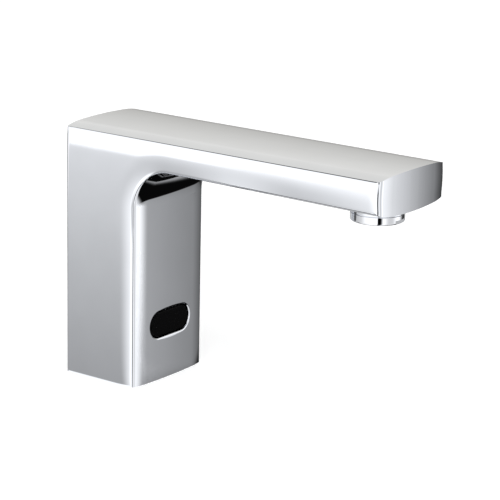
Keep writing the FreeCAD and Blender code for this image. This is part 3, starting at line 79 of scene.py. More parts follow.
# ---- cards that the chrome mirrors ----
CARD_CENTRE = Vector((0.0, -0.05, 0.07))
CARD_RADIUS = 1.6            # of the outermost curved cards
LAYER_GAP = 0.05             # between curved cards that stand in front of each other
CARD_STEPS = 24              # faces along each edge of a card
SIDE_GLANCE = 144.0          # where the left side's reflections go, degrees from +X
# name, azimuths and elevations in degrees, strengths at the low and the high edge,
# fades at the start, end, low and high edge, layer, colour
CURVED_CARDS = (
    ("softbox_left", (62, 217), (-80, 50), (1.8, 1.8), (0.1, 0.005, 0.05, 0.2), 0, WHITE),
    ("softbox_front", (212, 350), (-80, 50), (1.9, 1.9), (0.02, 0.1, 0.05, 0.2), 0, WHITE),
    ("flag_camera", (216.5, 241), (-80, 2), (0.003, 0.003), (0.02, 0.5, 0.05, 0.12), 1, WHITE),
    ("softbox_front_dim", (238, 302), (-80, 50), (1.05, 1.05), (0.42, 0.42, 0.05, 0.2), 1, WHITE),
    ("flag_right", (305, 376), (-85, 13), (0.05, 0.05), (0.48, 0.3, 0.05, 0.15), 1, WHITE),
    ("flag_back_right", (350, 432), (-85, 13), (0.30, 0.75), (0.25, 0.12, 0.05, 0.15), 2, WHITE),
    ("flag_low", (290, 376), (-88, -16), (0.004, 0.004), (0.2, 0.3, 0.02, 0.13), 3, WHITE),
    ("backdrop_rear", (62, 112), (-80, 50), (1.15, 0.50), (0.35, 0.2, 0.05, 0.2), 1, WHITE),
    ("flag_ring", (86, 136), (-85, 50), (0.15, 0.15), (0.3, 0.4, 0.05, 0.2), 2, WHITE),
    ("flag_top", (0, 360), (44, 89.5), (0.12, 0.12), (0.001, 0.001, 0.15, 0.001), 6, WHITE),
    ("backdrop_high", (-40, 110), (-3, 64), (1.1, 1.1), (0.15, 0.15, 0.05, 0.1), 4, WARM),
    ("backdrop_low", (-40, 110), (-3, 24), (0.30, 1.15), (0.15, 0.15, 0.05, 0.15), 5, WARM),
)

# ---- finishes ----
METAL, PLAIN = 1.0, 0.0
NOISE_SPAN = (0.3, 0.7)      # where nearly all of a noise's values lie
PATCH_DETAIL = 2.0
RELIEF_DETAIL = 3.0
# for each slot of the part: what finish_material takes
FINISHES = {
    "polished_chrome": dict(name="chrome_plate", colour=(0.585, 0.60, 0.63), metallic=METAL,
                            roughness=(0.02, 0.035), patches=60.0, shade=0.03),
    "aerator_chrome": dict(name="chrome_ring", colour=(0.61, 0.62, 0.645), metallic=METAL,
                           roughness=(0.03, 0.05), patches=200.0, shade=0.04),
    "eye_black": dict(name="eye_plastic", colour=(0.0012, 0.0012, 0.0014), metallic=PLAIN,
                      roughness=(0.22, 0.30), patches=300.0, shade=0.1, ior=1.1),
    "case_black": dict(name="case_plastic", colour=(0.012, 0.012, 0.013), metallic=PLAIN,
                       roughness=(0.38, 0.55), patches=250.0, relief=(3000.0, 2e-5)),
    "acetal_white": dict(name="acetal", colour=(0.72, 0.71, 0.68), metallic=PLAIN,
                         roughness=(0.35, 0.5), patches=200.0, relief=(2500.0, 1e-5)),
    "aerator_grey": dict(name="aerator_plastic", colour=(0.42, 0.43, 0.44), metallic=PLAIN,
                         roughness=(0.35, 0.5), patches=300.0, relief=(3000.0, 1e-5)),
    "rubber_black": dict(name="rubber", colour=(0.015, 0.015, 0.015), metallic=PLAIN,
                         roughness=(0.6, 0.8), patches=200.0, relief=(5000.0, 4e-5)),
    "turned_brass": dict(name="brass", colour=(0.72, 0.53, 0.26), metallic=METAL,
                         roughness=(0.2, 0.35), patches=150.0, relief=(2500.0, 1e-5), shade=0.12),
    "stainless": dict(name="stainless_steel", colour=(0.56, 0.56, 0.55), metallic=METAL,
                      roughness=(0.22, 0.36), patches=200.0, relief=(3000.0, 8e-6)),
    "spring_steel": dict(name="spring_wire", colour=(0.5, 0.5, 0.5), metallic=METAL,
                         roughness=(0.25, 0.4), patches=400.0, relief=(4000.0, 8e-6)),
    "zinc_steel": dict(name="zinc_plate", colour=(0.58, 0.59, 0.62), metallic=METAL,
                       roughness=(0.28, 0.45), patches=180.0, relief=(2500.0, 1e-5), shade=0.15),
    "board_green": dict(name="board", colour=(0.02, 0.16, 0.05), metallic=PLAIN,
                        roughness=(0.3, 0.45), patches=250.0, relief=(4000.0, 1e-5), shade=0.2),
    "coil_copper": dict(name="copper_wire", colour=(0.72, 0.34, 0.2), metallic=METAL,
                        roughness=(0.25, 0.4), patches=300.0, relief=(4000.0, 2e-5), shade=0.15),
    "magnet_nickel": dict(name="nickel_plate", colour=(0.6, 0.57, 0.52), metallic=METAL,
                          roughness=(0.18, 0.3), patches=200.0, relief=(3000.0, 6e-6)),
    "diode_clear": dict(name="diode_clear", colour=(0.7, 0.72, 0.75), metallic=PLAIN,
                        roughness=(0.08, 0.15), patches=400.0),
    "diode_dark": dict(name="diode_dark", colour=(0.015, 0.012, 0.02), metallic=PLAIN,
                       roughness=(0.08, 0.15), patches=400.0),
    "diode_red": dict(name="diode_red", colour=(0.45, 0.02, 0.02), metallic=PLAIN,
                      roughness=(0.1, 0.18), patches=400.0),
    "lead_grey": dict(name="lead_jacket", colour=(0.09, 0.09, 0.095), metallic=PLAIN,
                      roughness=(0.45, 0.6), patches=300.0, relief=(4000.0, 1e-5)),
}

# ---- the casting's outside, in millimetres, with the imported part's own sizes ----
MM = 0.001
SHELL_LOW, SHELL_HIGH = [[value / MM for value in corner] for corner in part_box("body_shell")]
LENS_LOW, LENS_HIGH = [[value / MM for value in corner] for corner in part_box("sensor_window")]
HALF_WIDTH = SHELL_HIGH[0]
BACK_CROWN = SHELL_HIGH[1]
TIP_CROWN = SHELL_LOW[1]
TOP_CROWN = SHELL_HIGH[2]
FRONT_CROWN = -21.0
UNDERSIDE_AT_TIP = 102.3
UNDERSIDE_RISE = 1.05        # from the tip to the bend
BEND_RADIUS = 17.5
CROWN_HALF_WIDTH = 17.0
CREST_TILT = 83.0            # tilt at which a face's rolled edge gives way to the side, degrees
SLOPE = math.atan2(UNDERSIDE_RISE, FRONT_CROWN - TIP_CROWN)
BEND_Y = FRONT_CROWN - BEND_RADIUS
BEND_Z = UNDERSIDE_AT_TIP + UNDERSIDE_RISE - BEND_RADIUS
BEND_TURN = math.pi / 2 + SLOPE

# ---- how finely the outside is divided ----
ARC_STEPS = (0.7, 1.0, 6.0)  # on a face's crown, shoulder and edge, degrees
STATION_GAP = 2e-4           # stations closer than this share of the half width are one
TINY = 1e-9
WELD_DECIMALS = 4            # points that agree to this many decimals are one
ROWS_FRONT = 16
ROWS_BEND = 36
ROWS_SPOUT = 24
BEND_END = ROWS_FRONT + ROWS_BEND
LAST_ROW = BEND_END + ROWS_SPOUT
# places along the spout, closer together where the sides roll in towards the tip
EVEN_SHARE = 0.94
NEAR_TIP = (0.96, 0.975, 0.984, 0.991, 0.996, 1.0)
EVEN_ROWS = ROWS_SPOUT - len(NEAR_TIP)
SPOUT_SHARES = [EVEN_SHARE * (row + 1) / EVEN_ROWS for row in range(EVEN_ROWS)] + list(NEAR_TIP)
# places across the column's side, closer together where it rolls in towards front and back
SIDE_PLACES = (0.0, 0.4, 1.2, 2.2, 3.4, 4.6, 5.8, 7.0, 8.2, 9.3, 11.0, 14.0, 18.0, 22.0, 26.0,
               30.0, 33.0, 34.6, 35.6, 36.1, 36.5, 36.9, 37.2, 37.4, 37.6)
SHARP_ANGLE = 11.0           # faces that meet at more than this keep their edge, degrees

# ---- the casting's inside, in millimetres ----
OVERRUN = 1.0                # how far a solid runs past the face that it cuts or joins
WALL_FRONT = -17.4           # inside of the front wall
WALL_BACK = 17.8
HOLLOW_HALF_WIDTH = 23.55
HOLLOW_ROOF = 116.5
SPOUT_HALF_WIDTH = 21.55
SPOUT_FLOOR = 105.6
SPOUT_END = -148.2
BEND_RELIEF = 10.6
NOZZLE = (0.0, -134.3)
NECK_RADIUS = 12.0
NECK_BOTTOM = 99.3
NECK_BEVEL = 0.25
NECK_ROOT = 2.0              # how far the neck runs up into the spout
THREAD_RADIUS = 11.0
THREAD_TOP = 106.3
CHAMBER_RADIUS = 7.0
CHAMBER_ROOF = 115.6
BOSS_RADIUS = 15.0
TUBE_HOLE_RADIUS = 4.05
TUBE_LEVEL = 111.8
LENS_FLANGE = 1.85           # flange behind the front wall, less the gap round the lens
EYE_HEIGHT = (LENS_LOW[2] + LENS_HIGH[2]) / 2
EYE_HALF_LENGTH = LENS_HIGH[0] - LENS_FLANGE
EYE_HALF_HEIGHT = LENS_HIGH[2] - EYE_HEIGHT - LENS_FLANGE
EYE_RIM_RADIUS = 0.8
EYE_RIM_TILT = 75.0          # the rim's roll ends here, where it meets the front face, degrees
EYE_RIM_STEPS = 12
EYE_END_STEPS = 32
EYE_LUG_INNER = 18.2
EYE_LUG_BACK = -6.0
EYE_LUG_HALF_HEIGHT = 4.0
EYE_SCREW_X = 20.85
EYE_SCREW_RADIUS = 1.55
EYE_SCREW_END = -12.8
BASE_LUG_INNER = 16.05
BASE_LUG_Y = 8.5
BASE_LUG_BOTTOM = 8.0
BASE_LUG_TOP = 15.0
BASE_SCREW_PLACE = (19.15, 13.0)
BASE_SCREW_RADIUS = 2.05
BASE_SCREW_END = 14.2
ROUND_SIDES = 96
THREAD_SIDES = 128           # of the thread's bore and of the neck round it
SCREW_SIDES = 32
ALONG_X, ALONG_Y, ALONG_Z = 0, 1, 2


# ---- objects and camera ----
def new_object(name, data):
    made = bpy.data.objects.new(name, data)
    scene.collection.objects.link(made)
    return made


def made_mesh(name, maker):
    mesh = bpy.data.meshes.new(name)
    maker.to_mesh(mesh)
    maker.free()
    return mesh


def between(ends, share):
    return ends[0] + (ends[1] - ends[0]) * share


def make_camera():
    azimuth = math.radians(CAMERA_AZIMUTH)
    elevation = math.radians(CAMERA_ELEVATION)
    roll = math.radians(CAMERA_ROLL)
    back = Vector((math.sin(azimuth) * math.cos(elevation),
                   -math.cos(azimuth) * math.cos(elevation), math.sin(elevation)))
    right = Vector((math.cos(azimuth), math.sin(azimuth), 0.0))
    up = back.cross(right)
    rolled_right = right * math.cos(roll) - up * math.sin(roll)
    rolled_up = right * math.sin(roll) + up * math.cos(roll)
    data = bpy.data.cameras.new("camera")
    data.lens = CAMERA_LENS
    data.sensor_width = CAMERA_SENSOR
    data.sensor_fit = "HORIZONTAL"
    data.clip_start, data.clip_end = CAMERA_CLIP
    camera = new_object("camera", data)
    place = CAMERA_TARGET + back * CAMERA_DISTANCE
    turn = Matrix((rolled_right, rolled_up, back)).transposed().to_4x4()
    camera.matrix_world = Matrix.Translation(place) @ turn
    scene.camera = camera


# ---- materials ----
def opaque(colour):
    return tuple(colour) + (1.0,)


def new_material(name):
    material = bpy.data.materials.new(name)
    material.use_nodes = True
    material.node_tree.nodes.clear()
    return material, material.node_tree.nodes, material.node_tree.links


def noise(nodes, links, scale, detail):
    """Noise over the object's own coordinates, in features of one metre over scale."""
    coordinates = nodes.new("ShaderNodeTexCoord")
    texture = nodes.new("ShaderNodeTexNoise")
    texture.inputs["Scale"].default_value = scale
    texture.inputs["Detail"].default_value = detail
    links.new(coordinates.outputs["Object"], texture.inputs["Vector"])
    return texture.outputs["Fac"]


def mapped(nodes, links, source, before, after=(0.0, 1.0), interpolation="LINEAR"):
    """source, with the values before taken to the values after."""
    made = nodes.new("ShaderNodeMapRange")
    made.interpolation_type = interpolation
    made.inputs["From Min"].default_value = before[0]
    made.inputs["From Max"].default_value = before[1]
    made.inputs["To Min"].default_value = after[0]
    made.inputs["To Max"].default_value = after[1]
    links.new(source, made.inputs["Value"])
    return made.outputs["Result"]


def computed(nodes, links, operation, first, second):
    """The result of an operation on a socket and another socket or number."""
    made = nodes.new("ShaderNodeMath")
    made.operation = operation
    links.new(first, made.inputs[0])
    if isinstance(second, float):
        made.inputs[1].default_value = second
    else:
        links.new(second, made.inputs[1])
    return made.outputs[0]


def finish_material(name, colour, metallic, roughness, patches, relief=None, shade=0.06, ior=1.5):
    """A surface whose colour and roughness vary over patches, with a fine relief.

    roughness is its lowest and highest value, patches is their scale, relief is its scale and
    its height in metres, and shade is how far the colour darkens in patches.
    """
    material, nodes, links = new_material(name)
    output = nodes.new("ShaderNodeOutputMaterial")
    shader = nodes.new("ShaderNodeBsdfPrincipled")
    links.new(shader.outputs["BSDF"], output.inputs["Surface"])
    shader.inputs["Metallic"].default_value = metallic
    shader.inputs["IOR"].default_value = ior
    pattern = noise(nodes, links, patches, PATCH_DETAIL)
    links.new(mapped(nodes, links, pattern, NOISE_SPAN, roughness), shader.inputs["Roughness"])
    tint = nodes.new("ShaderNodeMix")
    tint.data_type = "RGBA"
    tint.inputs["A"].default_value = opaque(colour)
    tint.inputs["B"].default_value = opaque(part * (1.0 - shade) for part in colour)
    links.new(mapped(nodes, links, pattern, NOISE_SPAN), tint.inputs["Factor"])
    links.new(tint.outputs["Result"], shader.inputs["Base Color"])
    if relief:
        scale, height = relief
        bump = nodes.new("ShaderNodeBump")
        bump.inputs["Strength"].default_value = 1.0
        bump.inputs["Distance"].default_value = height
        links.new(noise(nodes, links, scale, RELIEF_DETAIL), bump.inputs["Height"])
        links.new(bump.outputs["Normal"], shader.inputs["Normal"])
    return material


SLOT_FINISH = {slot: finish_material(**finish) for slot, finish in FINISHES.items()}


def dress_nodes():
    for node in frame["nodes"].values():
        slots = [material.name for material in node.data.materials]
        for index, slot in enumerate(slots):
            node.data.materials[index] = SLOT_FINISH[slot]


# ---- the casting's outside ----
def roll_amount(radius, distance):
    """How far a side rolls in at this distance from a crest."""
    length = radius * math.cos(math.radians(CREST_TILT))
    left = min(max(length - distance, 0.0), length)
    return radius - math.sqrt(radius * radius - left * left)


class Pillow:
    """The section of a face: arcs from the crown over the shoulder and the edge to the crest.

    crown, shoulder and edge are radii, and side_roll is the radius of the side's roll towards
    the face.
    """

    def __init__(self, crown, shoulder, edge, side_roll):
        self.side_roll = side_roll
        self.half_width = HALF_WIDTH - roll_amount(side_roll, 0.0)
        crest = math.radians(CREST_TILT)
        crown_tilt = math.asin(CROWN_HALF_WIDTH / crown)
        left = (self.half_width - CROWN_HALF_WIDTH + shoulder * math.sin(crown_tilt)
                - edge * math.sin(crest))
        shoulder_tilt = math.asin(left / (shoulder - edge))
        self.arcs = []
        across, depth = 0.0, 0.0
        spans = ((crown, 0.0, crown_tilt), (shoulder, crown_tilt, shoulder_tilt),
                 (edge, shoulder_tilt, crest))
        for (radius, start, end), step in zip(spans, ARC_STEPS):
            centre = (across - radius * math.sin(start), depth + radius * math.cos(start))
            steps = max(1, math.ceil(math.degrees(end - start) / step))
            self.arcs.append((radius, start, end, centre, steps))
            across = centre[0] + radius * math.sin(end)
            depth = centre[1] - radius * math.cos(end)
        self.crest_depth = depth

    def depth(self, share):
        """Depth below the crown at this share of the half width."""
        across = abs(share) * self.half_width
        for radius, _, end, centre, _ in self.arcs:
            if across <= centre[0] + radius * math.sin(end) + TINY:
                reach = min(across - centre[0], radius)
                return centre[1] - math.sqrt(radius * radius - reach * reach)
        return self.crest_depth

    def stations(self):
        """Shares of the half width at which the section needs a point."""
        found = []
        for radius, start, end, centre, steps in self.arcs:
            for step in range(steps):
                tilt = between((start, end), step / steps)
                found.append((centre[0] + radius * math.sin(tilt)) / self.half_width)
        return found + [1.0]


INNER = Pillow(crown=260.0, shoulder=40.0, edge=2.2, side_roll=75.0)   # front and underside
TOP = Pillow(crown=300.0, shoulder=40.0, edge=0.7, side_roll=75.0)
BACK = Pillow(crown=2000.0, shoulder=300.0, edge=0.6, side_roll=12.0)
TIP = Pillow(crown=400.0, shoulder=150.0, edge=3.0, side_roll=20.0)


def all_stations():
    """Shares of the half width, from -1 to 1, at which any of the faces needs a point."""
    shares = sorted(INNER.stations() + TOP.stations() + BACK.stations() + TIP.stations())
    kept = [shares[0]]
    for share in shares[1:]:
        if share - kept[-1] > STATION_GAP:
            kept.append(share)
    kept[-1] = 1.0
    return [-share for share in reversed(kept[1:])] + kept


def inner_depth(y, z):
    """How deep a point of the side lies in the metal, from the inner faces' crown line."""
    if z <= BEND_Z:
        return y - FRONT_CROWN
    turn = math.atan2(z - BEND_Z, y - BEND_Y)
    if turn < BEND_TURN:
        return math.hypot(y - BEND_Y, z - BEND_Z) - BEND_RADIUS
    return (z - BEND_Z) * math.cos(SLOPE) - (y - BEND_Y) * math.sin(SLOPE) - BEND_RADIUS


def half_width_at(y, z):
    """Half the casting's width, which shrinks where the sides roll in towards each face."""
    width = HALF_WIDTH
    width -= roll_amount(INNER.side_roll, inner_depth(y, z) - INNER.crest_depth)
    width -= roll_amount(TOP.side_roll, TOP_CROWN - TOP.crest_depth - z)
    width -= roll_amount(BACK.side_roll, BACK_CROWN - BACK.crest_depth - y)
    width -= roll_amount(TIP.side_roll, y - TIP_CROWN - TIP.crest_depth)
    return width


def inner_point(row, share):
    """A point of the front face, the bend or the underside, as (y, z)."""
    depth = INNER.depth(share)
    if row <= ROWS_FRONT:
        return FRONT_CROWN + depth, BEND_Z * row / ROWS_FRONT
    turn = BEND_TURN * min(row - ROWS_FRONT, ROWS_BEND) / ROWS_BEND
    radius = BEND_RADIUS + depth
    y, z = BEND_Y + radius * math.cos(turn), BEND_Z + radius * math.sin(turn)
    if row <= BEND_END:
        return y, z
    end = TIP_CROWN + TIP.depth(share)
    run = (end - y) * SPOUT_SHARES[row - BEND_END - 1]
    return y + run, z + run * math.tan(SLOPE)


def outer_point(row, share):
    """A point of the back face or the top that lies opposite inner_point, as (y, z)."""
    back = BACK_CROWN - BACK.depth(share)
    top = TOP_CROWN - TOP.depth(share)
    corner = ROWS_FRONT + ROWS_BEND // 2
    if row <= ROWS_FRONT:
        return back, BEND_Z * row / ROWS_FRONT
    if row <= corner:
        return back, BEND_Z + (top - BEND_Z) * (row - ROWS_FRONT) / (corner - ROWS_FRONT)
    if row <= BEND_END:
        return back + (BEND_Y - back) * (row - corner) / (BEND_END - corner), top
    end = TIP_CROWN + TIP.depth(share)
    return BEND_Y + (end - BEND_Y) * SPOUT_SHARES[row - BEND_END - 1], top


def across_shares(row):
    """Places across the side, from the inner crest to the outer one."""
    steps = len(SIDE_PLACES) - 1
    even = min(max((row - ROWS_FRONT) / ROWS_BEND, 0.0), 1.0)
    return [(1 - even) * place / SIDE_PLACES[-1] + even * step / steps
            for step, place in enumerate(SIDE_PLACES)]


def skin_mesh():
    """The closed outside of the casting: rolled faces all round, two sides and the foot."""
    maker = bmesh.new()
    points = {}

    def vertex(share, y, z):
        place = (share * half_width_at(y, z), y, z)
        key = tuple(round(value, WELD_DECIMALS) for value in place)
        if key not in points:
            points[key] = maker.verts.new([value * MM for value in place])
        return points[key]

    def fill(rows):
        for low, high in zip(rows, rows[1:]):
            for corners in zip(low, low[1:], high[1:], high):
                corners = list(dict.fromkeys(corners))
                if len(corners) > 2:
                    maker.faces.new(corners)
        return rows

    def tip_line(part):
        line = []
        for share in shares:
            y, low = inner_point(LAST_ROW, share)
            high = outer_point(LAST_ROW, share)[1]
            line.append(vertex(share, y, between((low, high), part)))
        return line

    def side_line(side, row):
        low, high = inner_point(row, 1.0), outer_point(row, 1.0)
        return [vertex(side, *(between(ends, part) for ends in zip(low, high)))
                for part in across_shares(row)]

    shares = all_stations()
    rows = range(LAST_ROW + 1)
    inner = [[vertex(share, *inner_point(row, share)) for share in shares] for row in rows]
    outer = [[vertex(share, *outer_point(row, share)) for share in shares] for row in rows]
    fill(inner)
    fill(outer)
    fill([tip_line(part) for part in across_shares(LAST_ROW)])
    right = fill([side_line(1, row) for row in rows])
    left = fill([side_line(-1, row) for row in rows])
    maker.faces.new(inner[0] + right[0][1:] + outer[0][::-1][1:] + left[0][::-1][1:-1])
    bmesh.ops.recalc_face_normals(maker, faces=maker.faces)
    return made_mesh("casting_skin", maker)


# ---- plain solids that shape the casting's inside ----
def lofted(name, rings):
    """A closed solid through rings of (x, y, z) points."""
    maker = bmesh.new()
    lines = [[maker.verts.new([value * MM for value in place]) for place in ring]
             for ring in rings]
    for low, high in zip(lines, lines[1:]):
        for corners in zip(low, low[1:] + low[:1], high[1:] + high[:1], high):
            maker.faces.new(corners)
    maker.faces.new(lines[0])
    maker.faces.new(lines[-1])
    bmesh.ops.recalc_face_normals(maker, faces=maker.faces)
    return new_object(name, made_mesh(name, maker))


def prism(name, outline, along, low, high):
    """outline's points, run from low to high along an axis.

    They are (y, z) for ALONG_X, (x, z) for ALONG_Y and (x, y) for ALONG_Z.
    """
    return lofted(name, [[place[:along] + (level,) + place[along:] for place in outline]
                         for level in (low, high)])


def block(name, x, y, z):
    outline = [(x[0], y[0]), (x[1], y[0]), (x[1], y[1]), (x[0], y[1])]
    return prism(name, outline, ALONG_Z, z[0], z[1])


def circle(centre, radius, sides):
    turns = [2 * math.pi * side / sides for side in range(sides)]
    return [(centre[0] + radius * math.cos(turn), centre[1] + radius * math.sin(turn))
            for turn in turns]


def round_rod(name, along, centre, radius, low, high, sides=ROUND_SIDES):
    return prism(name, circle(centre, radius, sides), along, low, high)


def combine(base, tools, operation):
    """Applies the tools to the base one after another and removes them."""
    for tool in tools:
        modifier = base.modifiers.new("cut", "BOOLEAN")
        modifier.operation = operation
        modifier.solver = "EXACT"
        modifier.object = tool
        evaluated = base.evaluated_get(bpy.context.evaluated_depsgraph_get())
        result = bpy.data.meshes.new_from_object(evaluated)
        base.modifiers.clear()
        base.data = result
        bpy.data.objects.remove(tool)
    return base


def eye_opening():
    """The eye's opening, whose rim rolls out into the front face."""
    straight = EYE_HALF_LENGTH - EYE_HALF_HEIGHT
    flare = math.radians(EYE_RIM_TILT)
    # for each ring: how far it lies outside the opening, its y, and 1 where it follows the face
    profile = [(0.0, WALL_FRONT + OVERRUN, 0.0), (0.0, FRONT_CROWN + 2 * EYE_RIM_RADIUS, 0.0)]
    for step in range(EYE_RIM_STEPS + 1):
        tilt = math.radians(EYE_RIM_TILT * step / EYE_RIM_STEPS)
        profile.append((EYE_RIM_RADIUS * (1 - math.cos(tilt)),
                        FRONT_CROWN + EYE_RIM_RADIUS * (1 - math.sin(tilt)), 1.0))
    widest = profile[-1][0] + OVERRUN * math.sin(flare)
    profile.append((widest, profile[-1][1] - OVERRUN * math.cos(flare), 1.0))
    profile.append((widest, FRONT_CROWN - 2 * EYE_RIM_RADIUS, 0.0))
    rings = []
    for extra, y, follow in profile:
        radius = EYE_HALF_HEIGHT + extra
        ring = []
        for end, start in ((1, 0.0), (-1, math.pi)):
            for step in range(EYE_END_STEPS + 1):
                turn = math.pi * (step / EYE_END_STEPS - 0.5) + start
                x = end * straight + radius * math.cos(turn)
                z = EYE_HEIGHT + radius * math.sin(turn)
                ring.append((x, y + follow * INNER.depth(x / INNER.half_width), z))
        rings.append(ring)
    return lofted("eye_opening", rings)


def hollow():
    """The space in the column and the spout, with the bend's inside between them."""
    column = block("column", (-HOLLOW_HALF_WIDTH, HOLLOW_HALF_WIDTH), (WALL_FRONT, WALL_BACK),
                   (-OVERRUN, HOLLOW_ROOF))
    spout = block("spout", (-SPOUT_HALF_WIDTH, SPOUT_HALF_WIDTH), (SPOUT_END, 0.0),
                  (SPOUT_FLOOR, HOLLOW_ROOF))
    foot = SPOUT_FLOOR - BEND_RELIEF
    corners = [(WALL_FRONT + OVERRUN, foot), (WALL_FRONT, foot),
               (WALL_FRONT - BEND_RELIEF, SPOUT_FLOOR), (WALL_FRONT + OVERRUN, SPOUT_FLOOR)]
    relief = prism("relief", corners, ALONG_X, -SPOUT_HALF_WIDTH, SPOUT_HALF_WIDTH)
    return combine(column, [spout, relief], "UNION")


def lugs_and_boss():
    """The metal that stands in the hollow: the screws' lugs and the boss over the nozzle."""
    solids = []
    for side in (1, -1):
        wall = side * (HOLLOW_HALF_WIDTH + OVERRUN)
        solids.append(block("eye_lug", sorted((side * EYE_LUG_INNER, wall)),
                            (WALL_FRONT - OVERRUN, EYE_LUG_BACK),
                            (EYE_HEIGHT - EYE_LUG_HALF_HEIGHT, EYE_HEIGHT + EYE_LUG_HALF_HEIGHT)))
        for ends in ((WALL_FRONT - OVERRUN, -BASE_LUG_Y), (BASE_LUG_Y, WALL_BACK + OVERRUN)):
            solids.append(block("base_lug", sorted((side * BASE_LUG_INNER, wall)), ends,
                                (BASE_LUG_BOTTOM, BASE_LUG_TOP)))
    boss = round_rod("boss", ALONG_Z, NOZZLE, BOSS_RADIUS, SPOUT_FLOOR - OVERRUN,
                     HOLLOW_ROOF + OVERRUN)
    return solids + [boss]


def holes():
    """The nozzle's chamber and thread, the tube's hole and the screws' holes."""
    solids = [round_rod("chamber", ALONG_Z, NOZZLE, CHAMBER_RADIUS, THREAD_TOP - OVERRUN,
                        CHAMBER_ROOF),
              round_rod("tube_hole", ALONG_Y, (0.0, TUBE_LEVEL), TUBE_HOLE_RADIUS, NOZZLE[1],
                        NOZZLE[1] + BOSS_RADIUS + OVERRUN),
              round_rod("thread", ALONG_Z, NOZZLE, THREAD_RADIUS, NECK_BOTTOM - OVERRUN,
                        THREAD_TOP, THREAD_SIDES)]
    for side in (1, -1):
        solids.append(round_rod("eye_screw", ALONG_Y, (side * EYE_SCREW_X, EYE_HEIGHT),
                                EYE_SCREW_RADIUS, EYE_SCREW_END, EYE_LUG_BACK + OVERRUN,
                                SCREW_SIDES))
        for end in (1, -1):
            place = (side * BASE_SCREW_PLACE[0], end * BASE_SCREW_PLACE[1])
            solids.append(round_rod("base_screw", ALONG_Z, place, BASE_SCREW_RADIUS,
                                    BASE_LUG_BOTTOM - OVERRUN, BASE_SCREW_END, SCREW_SIDES))
    return solids


def casting_inside():
    inside = combine(hollow(), lugs_and_boss(), "DIFFERENCE")
    return combine(inside, holes() + [eye_opening()], "UNION")


def nozzle_neck():
    """The short round neck under the spout's tip, bevelled at its lower end."""
    levels = ((NECK_RADIUS - NECK_BEVEL, NECK_BOTTOM), (NECK_RADIUS, NECK_BOTTOM + NECK_BEVEL),
              (NECK_RADIUS, UNDERSIDE_AT_TIP + NECK_ROOT))
    return lofted("neck", [[(x, y, level) for x, y in circle(NOZZLE, radius, THREAD_SIDES)]
                           for radius, level in levels])


def make_casting():
    casting = new_object("casting_skin", skin_mesh())
    combine(casting, [nozzle_neck()], "UNION")
    combine(casting, [casting_inside()], "DIFFERENCE")
    casting.data.polygons.foreach_set("use_smooth", [True] * len(casting.data.polygons))
    casting.data.set_sharp_from_angle(angle=math.radians(SHARP_ANGLE))
    casting.data.materials.append(SLOT_FINISH["polished_chrome"])
    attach(casting, "tap_body")
    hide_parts("body_shell")


# ---- the springs, as copies of their nodes ----
def make_springs():
    """Copies of the spring nodes' own shape, fixed to the tap's body in their place."""
    for joint in frame["record"]["behaviour"]["joints"]:
        for spring in joint.get("deforming_nodes", []):
            node = spring["node"]
            coil = new_object(node + "_coil", frame["nodes"][node].data.copy())
            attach(coil, "tap_body")
            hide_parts(node)
            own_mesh(coil)


# ---- floor, light and reflections ----
def white_to_the_eye(nodes, links):
    """1 for rays that show the background: from the camera, off metal and through glass."""
    rays = nodes.new("ShaderNodeLightPath").outputs
    seen = computed(nodes, links, "MAXIMUM", rays["Is Camera Ray"], rays["Is Glossy Ray"])
    return computed(nodes, links, "MAXIMUM", seen, rays["Is Transmission Ray"])


def make_world():
    """A soft sky for the light, and plain white wherever the background shows."""
    world = bpy.data.worlds.new("studio")
    world.use_nodes = True
    nodes, links = world.node_tree.nodes, world.node_tree.links
    nodes.clear()
    output = nodes.new("ShaderNodeOutputWorld")
    mix = nodes.new("ShaderNodeMixShader")
    links.new(white_to_the_eye(nodes, links), mix.inputs["Fac"])
    for place, level in ((1, SKY_LEVEL), (2, BACKGROUND_LEVEL)):
        light = nodes.new("ShaderNodeBackground")
        light.inputs["Color"].default_value = opaque(WHITE)
        light.inputs["Strength"].default_value = level
        links.new(light.outputs[0], mix.inputs[place])
    links.new(mix.outputs[0], output.inputs["Surface"])
    scene.world = world


def make_floor():
    """A white floor that takes the tap's shadow and isn't mirrored."""
    maker = bmesh.new()
    corners = ((-1, -1), (1, -1), (1, 1), (-1, 1))
    maker.faces.new([maker.verts.new((x * FLOOR_HALF, y * FLOOR_HALF, 0)) for x, y in corners])
    floor = new_object("floor", made_mesh("floor", maker))
    material, nodes, links = new_material("floor_white")
    output = nodes.new("ShaderNodeOutputMaterial")
    paint = nodes.new("ShaderNodeBsdfDiffuse")
    paint.inputs["Color"].default_value = opaque(FLOOR_COLOUR)
    glow = nodes.new("ShaderNodeEmission")
    strength = computed(nodes, links, "MULTIPLY", white_to_the_eye(nodes, links), FLOOR_GLOW)
    links.new(strength, glow.inputs["Strength"])
    total = nodes.new("ShaderNodeAddShader")
    links.new(paint.outputs[0], total.inputs[0])
    links.new(glow.outputs[0], total.inputs[1])
    links.new(total.outputs[0], output.inputs["Surface"])
    floor.data.materials.append(material)
    floor.visible_glossy = False


